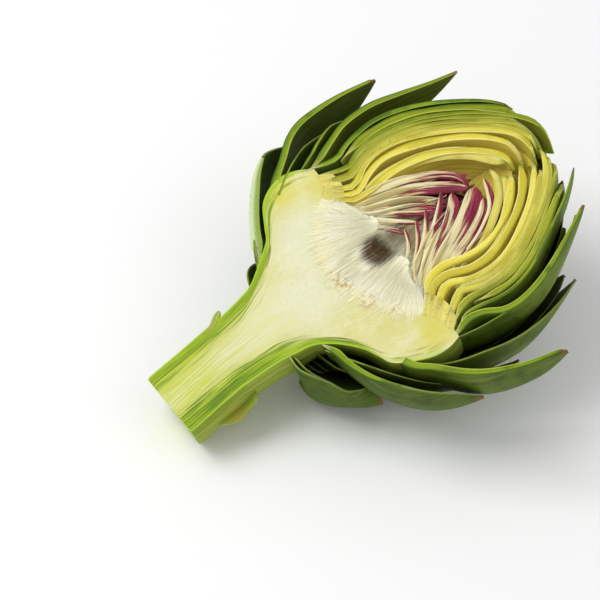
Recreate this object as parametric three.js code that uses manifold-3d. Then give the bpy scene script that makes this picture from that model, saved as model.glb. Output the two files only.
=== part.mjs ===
// Halved globe artichoke, lying on its rounded back with the cut face up. Millimetres, +Z up.
//
// Head frame: u runs along the head's axis from the neck (0) to the tip, and down the stem it is negative.
// r is the distance from the axis. The azimuth turns round the axis: 0 is the right edge of the cut face,
// 90 degrees is the middle of the rounded back and 180 degrees is the left edge of the cut face. The cut
// face is the plane of azimuths 0 and 180, so whatever ends there ends flat on it.
import * as THREE from "three";
import Module from "manifold-3d";
import { mergeVertices } from "three/addons/utils/BufferGeometryUtils.js";

const wasm = await Module();
wasm.setup();

// Pose
const TILT = THREE.MathUtils.degToRad(19.4); // the head's axis rises this much from the neck to the tip
const LIFT = 32.45; // height of the neck's middle over the table, after the low spots are flattened

// Stem
const STEM_END_RIGHT = -46;
const STEM_END_LEFT = -48.6;
const STEM_BEND = 5; // sideways bend at the stem's end
const BEND_LENGTH = 24; // the bend starts at the neck and is at its full slope from here on
const STEM_HALF_WIDTH = 13.7; // half the width of the cut through the stem
const STEM_OFF_CENTRE = 3.7; // the knife passed this far above the stem's middle
const STEM_RIBS = 9; // ribs on the half round
const STEM_RIB_HEIGHT = 0.35;
const STEM_TO_HEAD_U = [-10, 16]; // the stem's round section becomes the head's between these,
const STEM_TO_HEAD_R = [17, 30]; // and between these distances from the axis
// Width of the stem along its length, as [share of the way to its end, share of its half width]
const STEM_WIDTHS = [[1, 0.96], [0.97, 1], [0.7, 0.985], [0.42, 1], [0.22, 1.07], [0.08, 1.18]];

// Head
const BACK_FLATNESS = 0.14; // the head's half depth is smaller than its half width by this share
const NODE_GAP = 0.3; // between neighbouring pieces
const PAST_CUT = 0.12; // how far a solid that cuts others passes the cut face, in radians
const WELD = 1e-3; // points nearer than this are one point
const BEYOND_TIP = 112; // on the axis, past the tips of all bracts
const HEAD_FACETS = 16; // facets round the half of the head, the choke and its cavity, and the small rings
const CAVITY_FACETS = 14;
const RING_FACETS = 12;
const CUP_FACETS = 10;
const CUP_THICKNESS = 2.0; // green skin of the heart, which carries the green bracts
const FINEST_EDGE = 0.6; // thinnest margin of a bract
const NARROWEST = 0.8; // half width of a bract's very tip
const NARROW_REACH = 9; // nearer the axis than this a bract keeps the wrap that it has here
const BUD_MIDDLE = 62; // u of the closed head's middle, which closing bracts wrap round past it
const TIP_TURN = 0.4; // a bract's midline turns from its root's azimuth to its tip's from this share on
const NEAREST_OUTER = 0.3; // a bract's two faces stay this far from the axis
const NEAREST_INNER = 0.1;
const WIDEST_WRAP = 0.95; // no bract wraps further round the axis than this to each side, in radians

// Heart outline in the cut face, from the neck to the shoulder, as [u, r]
const HEART_RIGHT = [[2, 18.3], [9.5, 22.7], [15, 29.6], [17.6, 35.2], [20.5, 40.5], [30, 46], [37, 47],
  [42, 45.6]];
const HEART_LEFT = [[0, 20.4], [4.5, 23], [9.5, 27.8], [12, 33.3], [16.5, 42], [24, 46.5], [31, 45.6],
  [37, 41.5]];
// Top of the heart, from the shoulder down into the dish under the choke
const HEART_TOP_RIGHT = [[42, 42], [40.4, 36], [37, 31], [31.5, 25], [26, 17], [22.4, 8.5], [20.4, 0]];
const HEART_TOP_LEFT = [[37, 38], [36.4, 33.5], [33.5, 29.5], [29, 25], [24, 17.5], [21.2, 9],
  [20.4, 0]];

// Surface between the green bracts and the yellow ones, from the heart's shoulder to the tip
const DIVIDE_RIGHT = [[43.6, 43.6], [47, 41], [52.5, 38.2], [59, 39.4], [67, 39.4], [75, 37],
  [84, 31.5], [92, 25], [99, 17.5], [104, 10.5], [108, 4]];
const DIVIDE_LEFT = [[39.4, 39.4], [43, 37.4], [48, 36.6], [54, 39.6], [62, 41], [71, 39.2], [80, 34.4],
  [89.5, 28.2], [98, 19.6], [103.5, 10.5], [108, 4]];

// Wall of the cavity that holds the choke and the violet bracts, from the dish to its closed top
const CAVITY_RIGHT = [[38, 32.4], [41.5, 27], [43.6, 21.2], [51, 17.4], [59, 18.6], [67, 17.8],
  [75, 13.6], [82, 7.6], [86, 0]];
const CAVITY_LEFT = [[34.5, 30.6], [38, 26], [41.4, 20.6], [48, 17.2], [58, 16.6], [68, 14.6], [78, 10],
  [85, 4.4], [86, 0]];

// Green bracts that the knife cut, outermost first. Each line follows the bract from its root to its tip.
// centre and tip are the azimuths of its midline at its root and its tip, in degrees from the nearer edge of
// the cut face. A closing bract bends in over the head's tip.
const CUT_GREEN_RIGHT = [
  { line: [[4, 17], [7, 24], [8.5, 32], [12, 41.5], [18, 50.5], [26, 57.5], [38, 62.8]], centre: 27,
    tip: 14, halfWidth: 26, thickness: 2.2 },
  { line: [[21, 34], [22.6, 40], [25, 45.5], [29.5, 50], [36, 57.5], [43, 63], [54, 68], [66.7, 71.2]],
    centre: 10, tip: 2, halfWidth: 20, thickness: 2.6 },
  { line: [[26, 42], [33, 48.5], [42, 53], [54, 55.2], [64, 54.4], [75, 51], [86, 46.5]], centre: 30,
    halfWidth: 25, thickness: 1.8 },
  { line: [[38, 45.5], [43.6, 43.4], [48, 42.1], [53, 43.3], [58.5, 46.8], [64.6, 47.6], [72, 46],
    [80, 42.5], [90, 36.8], [99.7, 30.8]], centre: 6, tip: 1, halfWidth: 17, thickness: 2.4 },
  { line: [[43.5, 43], [47.5, 40], [53, 40.6], [59, 42], [65.5, 42.2], [74, 39.6], [82, 34.6],
    [90, 29.2], [98, 23.4], [105.3, 16.8]], centre: 14, tip: 2, halfWidth: 21, thickness: 1.3 },
];
const CUT_GREEN_LEFT = [
  { line: [[3, 21], [6.8, 30], [11, 39], [16, 47.6], [21, 54.6], [27, 59.6], [34, 62], [42, 63.2]],
    centre: 15, halfWidth: 24, thickness: 3 },
  { line: [[17, 40.5], [25, 47.5], [31, 53], [36, 58], [42, 61.2], [50, 62], [60, 61.4], [72.3, 59]],
    centre: 6, tip: 1, halfWidth: 18, thickness: 2.6 },
  { line: [[31, 44], [38.5, 47.4], [43, 50.4], [48, 53], [53, 54.2], [60, 54.2], [68, 52.4]],
    centre: 19, halfWidth: 21, thickness: 1.6 },
  { line: [[33.5, 42.5], [40, 44], [47, 47.2], [53, 50], [59, 51], [66.5, 50.6], [76, 47.7], [86, 44.4],
    [95.8, 41.8]], centre: 4, tip: 0, halfWidth: 14, thickness: 2.3 },
  { line: [[33, 43.6], [39, 41.4], [45.5, 40.2], [50, 42.4], [56, 44], [63.5, 44.6], [72, 42.4],
    [81.5, 37.6], [91, 30.6], [97.6, 24.4], [102.5, 17.5]], centre: 12, tip: 3, halfWidth: 22,
    thickness: 2, closing: true },
];

// Yellow bracts that the knife cut, outermost first. They close the head: at the tip each left one passes
// over the axis, outside of the right one of its layer.
const CUT_YELLOW_RIGHT = [
  { line: [[45.5, 38.8], [48, 37], [52.5, 35.9], [59, 37], [66, 37.1], [73.5, 35], [82.5, 29.8],
    [90.5, 23.4], [98, 16.2], [102.4, 8.6], [104, 2.5]], centre: 16, halfWidth: 23, thickness: 1.3 },
  { line: [[44.5, 36.5], [48.4, 33.6], [51.8, 31.8], [58.3, 34.4], [66.8, 33.9], [75.6, 30.6],
    [84.8, 24.6], [92.5, 18.4], [97.8, 11.6], [100.2, 6], [100.8, 1.5]], centre: 5, halfWidth: 22,
    thickness: 1.5 },
  { line: [[42.5, 32], [46, 28.4], [50, 27], [57, 30.4], [65.5, 30.6], [75, 27], [84, 20.8], [91, 14],
    [95.4, 7.2], [96.6, 2]], centre: 12, halfWidth: 21, thickness: 1.5 },
  { line: [[42, 28.6], [45.4, 24.4], [51, 23.6], [58.5, 26.6], [66.6, 26.4], [76, 22.2], [84.6, 15.8],
    [90, 9], [92.4, 3]], centre: 4, halfWidth: 20, thickness: 1.6 },
  { line: [[42, 25.4], [45.2, 21.6], [51.4, 20], [59.6, 22], [68, 22], [76.5, 18], [83, 12], [87.2, 6],
    [88.6, 1]], centre: 14, halfWidth: 19, thickness: 1.5 },
];
const CUT_YELLOW_LEFT = [
  { line: [[39.5, 37], [43.4, 35.2], [47.5, 34.4], [51.5, 37], [58, 38.8], [66, 37.9], [76, 34.5],
    [87.5, 27], [97.5, 18], [104.3, 8.8], [106.4, 1.5], [105.7, -4]], centre: 8, halfWidth: 23,
    thickness: 1.6 },
  { line: [[38.6, 34.4], [42, 32.2], [45.5, 31], [51.3, 34], [57, 35.5], [64.6, 35], [74.5, 31.4],
    [86, 24], [96.4, 14.8], [101.4, 7.2], [102.6, 0.8], [101.4, -5]], centre: 15, halfWidth: 22,
    thickness: 1.2 },
  { line: [[37.5, 31], [41, 28], [45, 26.8], [50.5, 30.6], [56.5, 32.4], [64.9, 31.4], [74.5, 27.4],
    [85.5, 20.2], [94, 12.6], [98.2, 5.4], [98.6, -0.6], [97.2, -6]], centre: 5, halfWidth: 21,
    thickness: 1.4 },
  { line: [[37.5, 28.4], [41, 24.8], [45, 23.8], [50.2, 27], [57, 29], [65.6, 27.6], [75, 23.4],
    [84.5, 17.2], [91.6, 9.6], [94.6, 2.6], [94, -3.4]], centre: 13, halfWidth: 20, thickness: 1.4 },
  { line: [[38, 25], [41.6, 21.8], [48, 21.4], [58, 22.4], [69, 20.4], [79, 14.6], [86.6, 7.6],
    [90, 1.4], [90, -3.4]], centre: 4, halfWidth: 19, thickness: 1.8 },
];

// Lines that the bracts of the rounded back follow, by depth: 0 is the lowest and outermost layer
const BACK_LINES = [
  [[-1, 15], [3, 26], [8, 36], [15, 44.5], [24, 51.5], [35, 56]],
  [[6, 22], [12, 33], [20, 44], [31, 53], [45, 58.5], [61, 59.5]],
  [[17, 34], [25, 43], [36, 50.5], [49, 54.6], [63, 54.6], [78, 51]],
  [[28, 42], [37, 46], [49, 49.6], [63, 50], [79, 44.8], [95, 36]],
  [[36, 43], [45, 42.6], [57, 45], [71, 43.4], [88, 33], [102, 17.5]],
];
const BACK_YELLOW = [
  { line: [[41, 38], [48, 35.4], [58, 37.6], [71, 35.6], [88, 25.6], [103, 9.6]], azimuth: 90,
    halfWidth: 29, thickness: 1.4 },
  { line: [[40, 33], [47, 28.8], [57, 31.8], [70, 30.2], [86, 19.4], [100, 4]], azimuth: 90,
    halfWidth: 25, thickness: 1.4 },
  { line: [[40, 27], [46, 23.6], [57, 24.4], [69, 22], [81, 14.4], [91, 3]], azimuth: 90, halfWidth: 24,
    thickness: 1.2 },
];
const BACK_BRACTS = 21;
const BACK_WINDOW = 19; // the spiral's bracts stay this many degrees clear of the cut face
const BACK_HALF_WIDTH = 23;
const BACK_THICKNESS = 1.2;
const GOLDEN_ANGLE = 137.508;

// Small bracts that hang over the neck
const NECK_BRACTS = [
  { line: [[-6, 15], [-6, 23], [-4, 31], [0, 37], [6, 40.5], [12, 42]], azimuth: 46, halfWidth: 18,
    thickness: 1.8 },
  { line: [[-4, 15], [-2, 23], [2, 31], [8, 38], [15, 43], [23, 46]], azimuth: 128, halfWidth: 20,
    thickness: 1.8 },
  { line: [[-3, 14], [-1, 20], [3, 27], [9, 34], [17, 41], [26, 46]], azimuth: 88, halfWidth: 18,
    thickness: 1.8 },
];

// Violet bracts over the choke, on a ring of their roots
const VIOLET_ROOTS = [[41.6, 15.8], [41.6, 18.4], [43.2, 18.4], [43.2, 15.8]];
const VIOLET_RINGS = [
  { line: [[42.4, 17.7], [48, 16], [57, 14], [66, 11.6], [76, 8]], azimuths: [5, 32, 60, 88, 116, 145,
    174], halfWidth: 3.9 },
  { line: [[42.4, 16.4], [46, 12.8], [52, 9.2], [58, 6.6], [65, 3.6]], azimuths: [18, 55, 92, 130, 163],
    halfWidth: 2.6 },
];
const VIOLET_THICKNESS = 0.9;

// Fleshy ring that the yellow bracts grow from, on the heart's shoulder
const YELLOW_ROOTS_RIGHT = [[42.6, 43], [41.4, 36], [38, 31], [42, 24], [45.4, 32], [45, 39.5]];
const YELLOW_ROOTS_LEFT = [[37.6, 39], [37.4, 33.5], [34.5, 29.5], [38.5, 22.5], [41.4, 29.5],
  [41, 35.9]];

// Rows and columns of facets in a bract of each kind, and how far its sides tuck in
const CUT_GREEN_GRID = { rows: 8, columns: 3, tuck: 1 };
const BACK_GREEN_GRID = { rows: 5, columns: 3, tuck: 0.3 };
const NECK_GRID = { rows: 5, columns: 3, tuck: 0 };
const CUT_YELLOW_GRID = { rows: 8, columns: 2, tuck: 0 };
const BACK_YELLOW_GRID = { rows: 6, columns: 4, tuck: 0 };
const VIOLET_GRID = { rows: 4, columns: 2, tuck: 0 };

// Choke: from the rim of its dish over the brush's top to the hollow in the middle
const CHOKE_RIGHT = [[38, 31.2], [40.4, 25], [40.8, 18], [41.8, 13.5], [43.8, 11], [43, 8], [37, 5.6],
  [33.4, 0]];
const CHOKE_LEFT = [[34.6, 29.2], [37.6, 24.6], [39.8, 19], [41.4, 14], [43.6, 11], [43, 8], [37, 5.6],
  [33.4, 0]];
const CHOKE_SPIKES = 80;
const BRUSH_RADII = [5.6, 13]; // the brush's inner and outer edge
const BRUSH_TOP = 43; // u of the spikes' feet
const BRUSH_EDGE_DROP = 1.6; // lower at the outer edge
const BRUSH_HOLLOW_DROP = 4; // and towards the hollow
const BRUSH_ARC = [6, 174]; // azimuths of the first and last spikes
const SPIKE_LENGTH = 9;
const SPIKE_RADIUS = 0.55;
const SPIKE_ROOT = 2; // depth of a spike's foot in the core
const SPIKE_LEAN = [0.2, 0.55]; // leaning to the axis, at the inner and outer edge, in radians
const SEED = 7;

/** Small seeded random generator, 0 to 1. */
function seeded(seed) {
  let state = seed;
  return () => {
    state = (state * 16807) % 2147483647;
    return state / 2147483647;
  };
}

function smoothstep(value, low, high) {
  return THREE.MathUtils.smoothstep(value, low, high);
}

/** How far the round section reaches at an azimuth, as a share of its reach in the cut face. */
function sectionShare(u, r, azimuth) {
  const head = 1 - BACK_FLATNESS * Math.sin(azimuth) ** 2;
  const radius = Math.hypot(STEM_HALF_WIDTH, STEM_OFF_CENTRE);
  const down = STEM_OFF_CENTRE * Math.sin(azimuth);
  const across = STEM_OFF_CENTRE * Math.cos(azimuth);
  const stem = (down + Math.sqrt(radius ** 2 - across ** 2)) / STEM_HALF_WIDTH;
  const headShare = Math.max(smoothstep(u, ...STEM_TO_HEAD_U), smoothstep(r, ...STEM_TO_HEAD_R));
  return THREE.MathUtils.lerp(stem, head, headShare);
}

/** How far the stem has bent sideways, to the right, at u. */
function bendAt(u) {
  const start = (length) => smoothstep(length, 0, BEND_LENGTH) * BEND_LENGTH / 2;
  const run = (length) => start(length) + Math.max(0, length - BEND_LENGTH);
  return STEM_BEND * run(-u) / run(-STEM_END_RIGHT);
}

/** A point in the head's own frame: x along its axis, y to the left of the cut face, z out of it. */
function place(u, r, azimuth) {
  const reach = r * sectionShare(u, r, azimuth);
  const z = -reach * Math.sin(azimuth);
  return new THREE.Vector3(u, -reach * Math.cos(azimuth) - bendAt(u), Math.abs(z) < WELD ? 0 : z);
}

/** How far a point of a closing bract is from what the bract wraps round. */
function closingReach(u, r) {
  return Math.hypot(Math.max(0, u - BUD_MIDDLE), r);
}

/** A point of a closing bract, which wraps round the head's axis and, past its middle, round that. */
function placeClosing(u, r, azimuth) {
  const turn = Math.min(azimuth, Math.PI - azimuth);
  const middle = Math.min(u, BUD_MIDDLE);
  const depth = closingReach(u, r) * (1 - BACK_FLATNESS * Math.sin(turn) ** 2) * Math.sin(turn);
  return new THREE.Vector3(middle + (u - middle) * Math.cos(turn), -r * Math.cos(azimuth), -depth);
}

/** A closed solid from a list of triangles of points, whichever way round they all run. */
function solidOf(triangles) {
  const positions = triangles.flat().flatMap((point) => [point.x, point.y, point.z]);
  const loose = new THREE.BufferGeometry();
  loose.setAttribute("position", new THREE.Float32BufferAttribute(positions, 3));
  const merged = mergeVertices(loose, WELD);
  const at = (i) => new THREE.Vector3().fromBufferAttribute(merged.attributes.position, i);
  const corners = [];
  let volume = 0;
  for (let i = 0; i < merged.index.count; i += 3) {
    const [a, b, c] = [0, 1, 2].map((k) => merged.index.getX(i + k));
    if (a !== b && b !== c && c !== a) {
      corners.push([a, b, c]);
      volume += at(a).dot(at(b).cross(at(c)));
    }
  }
  const triVerts = new Uint32Array(corners.flatMap(([a, b, c]) => (volume > 0 ? [a, b, c] : [a, c, b])));
  const vertProperties = new Float32Array(merged.attributes.position.array);
  return new wasm.Manifold(new wasm.Mesh({ numProp: 3, vertProperties, triVerts }));
}

/** Two triangles for one cell of a grid of points. */
function cell(grid, i, j) {
  const [a, b, c, d] = [grid[i][j], grid[i][j + 1], grid[i + 1][j + 1], grid[i + 1][j]];
  return [[a, b, c], [a, c, d]];
}

/** The same, turned over and split along the same diagonal. */
function turnedCell(grid, i, j) {
  return cell(grid, i, j).map(([a, b, c]) => [a, c, b]);
}

function vectors(points) {
  return points.map(([u, r]) => new THREE.Vector2(u, r));
}

/** Points spaced along a smooth curve, with the outward side's direction at each. */
function stations(points, count) {
  const curve = new THREE.SplineCurve(vectors(points));
  return Array.from({ length: count + 1 }, (_, i) => {
    const at = curve.getPointAt(i / count);
    const along = curve.getTangentAt(i / count);
    return { share: i / count, at, out: new THREE.Vector2(-along.y, along.x) };
  });
}

/** A smooth curve moved sideways, as [u, r] points that never cross the axis. */
function offsetLine(points, count, distance) {
  return stations(points, count).map(({ at, out }) => {
    const moved = at.clone().addScaledVector(out, distance);
    return [moved.x, Math.max(0, moved.y)];
  });
}

/**
 * The half-round solid whose section is one closed loop on the right and another on the left. A solid
 * that only cuts others passes the cut face by an angle.
 */
function halfRound(right, left, steps, { relief = () => 0, past = 0 } = {}) {
  const grid = right.map(([u, r], k) => Array.from({ length: steps + 1 }, (_, j) => {
    const azimuth = -past + (Math.PI + 2 * past) * j / steps;
    const leftShare = (1 - Math.cos(azimuth)) / 2;
    const [otherU, otherR] = left[k];
    const raised = j > 0 && j < steps ? relief(k, j) : 0;
    const reach = THREE.MathUtils.lerp(r, otherR, leftShare) + raised;
    return place(THREE.MathUtils.lerp(u, otherU, leftShare), reach, azimuth);
  }));
  grid.push(grid[0]);
  const triangles = [];
  for (let k = 0; k < right.length; k += 1) {
    for (let j = 0; j < steps; j += 1) {
      triangles.push(...cell(grid, k, j));
    }
  }
  const caps = [[right, 0, false], [left, steps, true]];
  caps.forEach(([loop, j, turned]) => {
    const contour = vectors(loop);
    const clockwise = THREE.ShapeUtils.isClockWise(contour);
    THREE.ShapeUtils.triangulateShape(contour, []).forEach(([a, b, c]) => {
      const face = [grid[a][j], grid[b][j], grid[c][j]];
      triangles.push(turned === clockwise ? face : [face[0], face[2], face[1]]);
    });
  });
  return solidOf(triangles);
}

/** A bract's half width along its length, as a share of the widest place. */
function bractOutline(share) {
  const root = 0.72 + 0.28 * smoothstep(share, 0, 0.4);
  return root * (1 - share ** 2.8) ** 0.8;
}

/** A bract's depth: fleshy at the root, and finer to the tip and the margins. */
function bractDepth(thickness, share, across) {
  const root = 1 + 0.5 * smoothstep(1 - share, 0.75, 1);
  const tip = 1 - 0.55 * smoothstep(share, 0.45, 1);
  const edge = 1 - 0.6 * across ** 4;
  return Math.max(FINEST_EDGE, thickness * root * tip * edge);
}

/** One bract: a cupped blade that ends flat on the cut face where the knife met it. */
function bract(spec, { rows, columns, tuck }) {
  const { line, azimuth, tipAzimuth = azimuth, halfWidth, thickness, closing = false } = spec;
  const outer = [];
  const inner = [];
  stations(line, rows).forEach(({ share, at, out }) => {
    const turned = THREE.MathUtils.lerp(azimuth, tipAzimuth, smoothstep(share, TIP_TURN, 1));
    const middle = THREE.MathUtils.degToRad(turned);
    const width = Math.max(halfWidth * bractOutline(share), NARROWEST);
    const reach = closing ? closingReach(at.x, at.y) : at.y;
    const half = Math.min(width / Math.max(reach, NARROW_REACH), WIDEST_WRAP);
    const low = THREE.MathUtils.clamp(middle - half, 0, Math.PI);
    const high = THREE.MathUtils.clamp(middle + half, 0, Math.PI);
    const outerRow = [];
    const innerRow = [];
    for (let j = 0; j <= columns; j += 1) {
      const angle = THREE.MathUtils.lerp(low, high, j / columns);
      const across = (angle - middle) / half;
      const drop = tuck * across ** 2 * Math.sin(Math.PI * share);
      const depth = bractDepth(thickness, share, across);
      const face = (distance, nearest) => {
        const moved = at.clone().addScaledVector(out, distance - drop);
        return closing ? placeClosing(moved.x, moved.y, angle)
          : place(moved.x, Math.max(moved.y, nearest), angle);
      };
      outerRow.push(face(depth / 2, NEAREST_OUTER));
      innerRow.push(face(-depth / 2, NEAREST_INNER));
    }
    outer.push(outerRow);
    inner.push(innerRow);
  });
  const triangles = [];
  for (let i = 0; i < rows; i += 1) {
    for (let j = 0; j < columns; j += 1) {
      triangles.push(...cell(outer, i, j), ...turnedCell(inner, i, j));
    }
  }
  const rim = [];
  for (let i = 0; i < rows; i += 1) {
    rim.push([i, 0]);
  }
  for (let j = 0; j < columns; j += 1) {
    rim.push([rows, j]);
  }
  for (let i = rows; i > 0; i -= 1) {
    rim.push([i, columns]);
  }
  for (let j = columns; j > 0; j -= 1) {
    rim.push([0, j]);
  }
  rim.forEach(([i, j], k) => {
    const [nextI, nextJ] = rim[(k + 1) % rim.length];
    const [a, b] = [outer[i][j], outer[nextI][nextJ]];
    const [c, d] = [inner[nextI][nextJ], inner[i][j]];
    triangles.push([a, b, c], [a, c, d]);
  });
  return solidOf(triangles);
}

/** The one solid that a list of solids makes, without the loose scraps. */
function fused(solids) {
  return solids.reduce((whole, solid) => whole.add(solid));
}

/** The largest shell of a solid: its loose scraps are dropped and its sealed hollows are filled. */
function wholeShell(solid) {
  const { vertProperties, triVerts } = solid.getMesh();
  const parent = Uint32Array.from({ length: vertProperties.length / 3 }, (_, i) => i);
  const rootOf = (i) => {
    let root = i;
    while (parent[root] !== root) {
      root = parent[root];
    }
    parent[i] = root;
    return root;
  };
  const corner = (i) => new THREE.Vector3().fromArray(vertProperties, 3 * i);
  for (let i = 0; i < triVerts.length; i += 3) {
    parent[rootOf(triVerts[i + 1])] = rootOf(triVerts[i]);
    parent[rootOf(triVerts[i + 2])] = rootOf(triVerts[i]);
  }
  const volumes = new Map();
  for (let i = 0; i < triVerts.length; i += 3) {
    const [a, b, c] = [0, 1, 2].map((k) => corner(triVerts[i + k]));
    const root = rootOf(triVerts[i]);
    volumes.set(root, (volumes.get(root) ?? 0) + a.dot(b.cross(c)));
  }
  const main = [...volumes].reduce((best, each) => (each[1] > best[1] ? each : best))[0];
  const kept = [];
  for (let i = 0; i < triVerts.length; i += 3) {
    if (rootOf(triVerts[i]) === main) {
      kept.push([0, 1, 2].map((k) => corner(triVerts[i + k])));
    }
  }
  const shell = solidOf(kept);
  return shell.decompose().length > 1 ? wholeShell(shell) : shell;
}

/** The line of a bract between the layers' own lines. */
function lineAtDepth(lines, depth) {
  const first = Math.min(Math.floor(depth), lines.length - 2);
  return lines[first].map(([u, r], k) => {
    const [nextU, nextR] = lines[first + 1][k];
    return [THREE.MathUtils.lerp(u, nextU, depth - first), THREE.MathUtils.lerp(r, nextR, depth - first)];
  });
}

function onSide(bracts, left) {
  const turned = (fromEdge) => (left ? 180 - fromEdge : fromEdge);
  return bracts.map(({ centre, tip = centre, ...rest }) => (
    { ...rest, azimuth: turned(centre), tipAzimuth: turned(tip) }));
}

/** The bracts of the rounded back, in the order of a golden-angle spiral. */
function spiralBracts() {
  const random = seeded(SEED);
  const bracts = [];
  for (let turn = 0; bracts.length < BACK_BRACTS; turn += 1) {
    const azimuth = (turn * GOLDEN_ANGLE + 96) % 360;
    if (azimuth > BACK_WINDOW && azimuth < 180 - BACK_WINDOW) {
      bracts.push({ azimuth, wander: random() - 0.5, stretch: 0.95 + 0.1 * random() });
    }
  }
  return bracts.map(({ azimuth, wander, stretch }, i) => ({
    line: lineAtDepth(BACK_LINES, (BACK_LINES.length - 1) * i / (BACK_BRACTS - 1)),
    azimuth: azimuth + 4 * wander,
    halfWidth: BACK_HALF_WIDTH * stretch,
    thickness: BACK_THICKNESS,
  }));
}

/** Everything inside the divide between green and yellow bracts, grown or shrunk by a distance. */
function insideOfGreen(grow) {
  const skin = grow - CUP_THICKNESS;
  const loop = (heart, divide) => [
    [heart[0][0], 0],
    ...offsetLine(heart, 8, skin),
    ...offsetLine(divide, 12, grow),
    [BEYOND_TIP, 0],
  ];
  const right = loop(HEART_RIGHT, DIVIDE_RIGHT);
  const left = loop(HEART_LEFT, DIVIDE_LEFT);
  return halfRound(right, left, HEAD_FACETS, { past: PAST_CUT });
}

/** The cavity over the heart's dish, grown or shrunk by a distance. */
function cavity(grow) {
  const dish = (top) => offsetLine([...top.slice(2)].reverse(), 5, 0);
  const loop = (top, wall) => [...dish(top), ...offsetLine(wall, 9, grow)];
  const right = loop(HEART_TOP_RIGHT, CAVITY_RIGHT);
  const left = loop(HEART_TOP_LEFT, CAVITY_LEFT);
  return halfRound(right, left, CAVITY_FACETS, { past: PAST_CUT });
}

/** The closed section of the stem and heart, from the stem's end round the dish to the axis. */
function heartLoop(stemEnd, heart, top, grow) {
  const stem = STEM_WIDTHS.map(([share, width]) => [stemEnd * share, STEM_HALF_WIDTH * width + 2 * grow]);
  const flesh = grow - CUP_THICKNESS - NODE_GAP / 2;
  const shoulder = offsetLine(heart, 9, flesh).slice(2);
  const endMiddle = [(STEM_END_RIGHT + STEM_END_LEFT) / 2, 0];
  const neck = [heart[0][0] + 1, heart[0][1] - 0.6 + 2 * grow];
  return [endMiddle, ...stem, neck, ...shoulder, ...offsetLine(top, 8, grow)];
}

/** The ribbed stem and the heart that it widens into, grown by a distance. */
function stemAndHeartBody(grow, past) {
  const right = heartLoop(STEM_END_RIGHT, HEART_RIGHT, HEART_TOP_RIGHT, grow);
  const left = heartLoop(STEM_END_LEFT, HEART_LEFT, HEART_TOP_LEFT, grow);
  const relief = (k, j) => (k > 0 && k <= STEM_WIDTHS.length ? STEM_RIB_HEIGHT * (j % 2 ? 1 : -1) : 0);
  return halfRound(right, left, STEM_RIBS * 2, { relief, past });
}

/** A slim three-sided spike from the choke's top, leaning to the axis. */
function spike(u, r, azimuth, lean, length) {
  const foot = place(u - SPIKE_ROOT, r, azimuth);
  const tipRadius = Math.max(r - length * Math.sin(lean), SPIKE_RADIUS);
  const tip = place(u + length * Math.cos(lean), tipRadius, azimuth);
  const along = tip.clone().sub(foot).normalize();
  const side = new THREE.Vector3(0, 0, 1).cross(along).normalize();
  const up = along.clone().cross(side);
  const corners = [0, 1, 2].map((k) => {
    const turn = Math.PI * (0.5 + 2 * k / 3);
    return foot.clone().addScaledVector(side, SPIKE_RADIUS * Math.cos(turn))
      .addScaledVector(up, SPIKE_RADIUS * Math.sin(turn));
  });
  const [a, b, c] = corners;
  return solidOf([[a, b, c], [a, tip, b], [b, tip, c], [c, tip, a]]);
}

/** The choke: a core on the heart's dish, hollow in the middle, with a brush of spikes. */
function choke() {
  const dish = (top) => offsetLine(top.slice(2), 5, NODE_GAP + 0.1).reverse();
  const right = [...dish(HEART_TOP_RIGHT), ...CHOKE_RIGHT];
  const left = [...dish(HEART_TOP_LEFT), ...CHOKE_LEFT];
  const core = halfRound(right, left, RING_FACETS);
  const random = seeded(SEED);
  const [firstAzimuth, lastAzimuth] = BRUSH_ARC;
  const spikes = Array.from({ length: CHOKE_SPIKES }, (_, i) => {
    const share = Math.sqrt((i + 0.5) / CHOKE_SPIKES);
    const r = THREE.MathUtils.lerp(...BRUSH_RADII, share);
    const turn = (i * GOLDEN_ANGLE) % (lastAzimuth - firstAzimuth);
    const azimuth = THREE.MathUtils.degToRad(firstAzimuth + turn);
    const edgeDrop = BRUSH_EDGE_DROP * smoothstep(r, 11, 13);
    const hollowDrop = BRUSH_HOLLOW_DROP * smoothstep(9 - r, 0, 4);
    const lean = THREE.MathUtils.lerp(...SPIKE_LEAN, share);
    const length = SPIKE_LENGTH * (0.8 + 0.4 * random());
    return spike(BRUSH_TOP - edgeDrop - hollowDrop, r, azimuth, lean, length);
  });
  return fused([core, ...spikes]);
}

function violetBracts() {
  const ring = halfRound(VIOLET_ROOTS, VIOLET_ROOTS, RING_FACETS);
  const bracts = VIOLET_RINGS.flatMap(({ line, azimuths, halfWidth }) => azimuths.map((azimuth) => (
    bract({ line, azimuth, halfWidth, thickness: VIOLET_THICKNESS }, VIOLET_GRID))));
  return fused([ring, ...bracts]);
}

function yellowBracts() {
  const ring = halfRound(YELLOW_ROOTS_RIGHT, YELLOW_ROOTS_LEFT, HEAD_FACETS);
  const cut = [...onSide(CUT_YELLOW_RIGHT, false), ...onSide(CUT_YELLOW_LEFT, true)];
  return fused([
    ring,
    ...cut.map((each) => bract({ ...each, closing: true }, CUT_YELLOW_GRID)),
    ...BACK_YELLOW.map((each) => bract(each, BACK_YELLOW_GRID)),
  ]);
}

function greenBracts() {
  const inside = -CUP_THICKNESS - 1;
  const skin = (heart) => [...offsetLine(heart, 6, 0), ...offsetLine(heart, 6, inside).reverse()];
  const cup = halfRound(skin(HEART_RIGHT), skin(HEART_LEFT), CUP_FACETS);
  const cut = [...onSide(CUT_GREEN_RIGHT, false), ...onSide(CUT_GREEN_LEFT, true)];
  return fused([
    cup,
    ...cut.map((each) => bract(each, CUT_GREEN_GRID)),
    ...NECK_BRACTS.map((each) => bract(each, NECK_GRID)),
    ...spiralBracts().map((each) => bract(each, BACK_GREEN_GRID)),
  ]);
}

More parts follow.
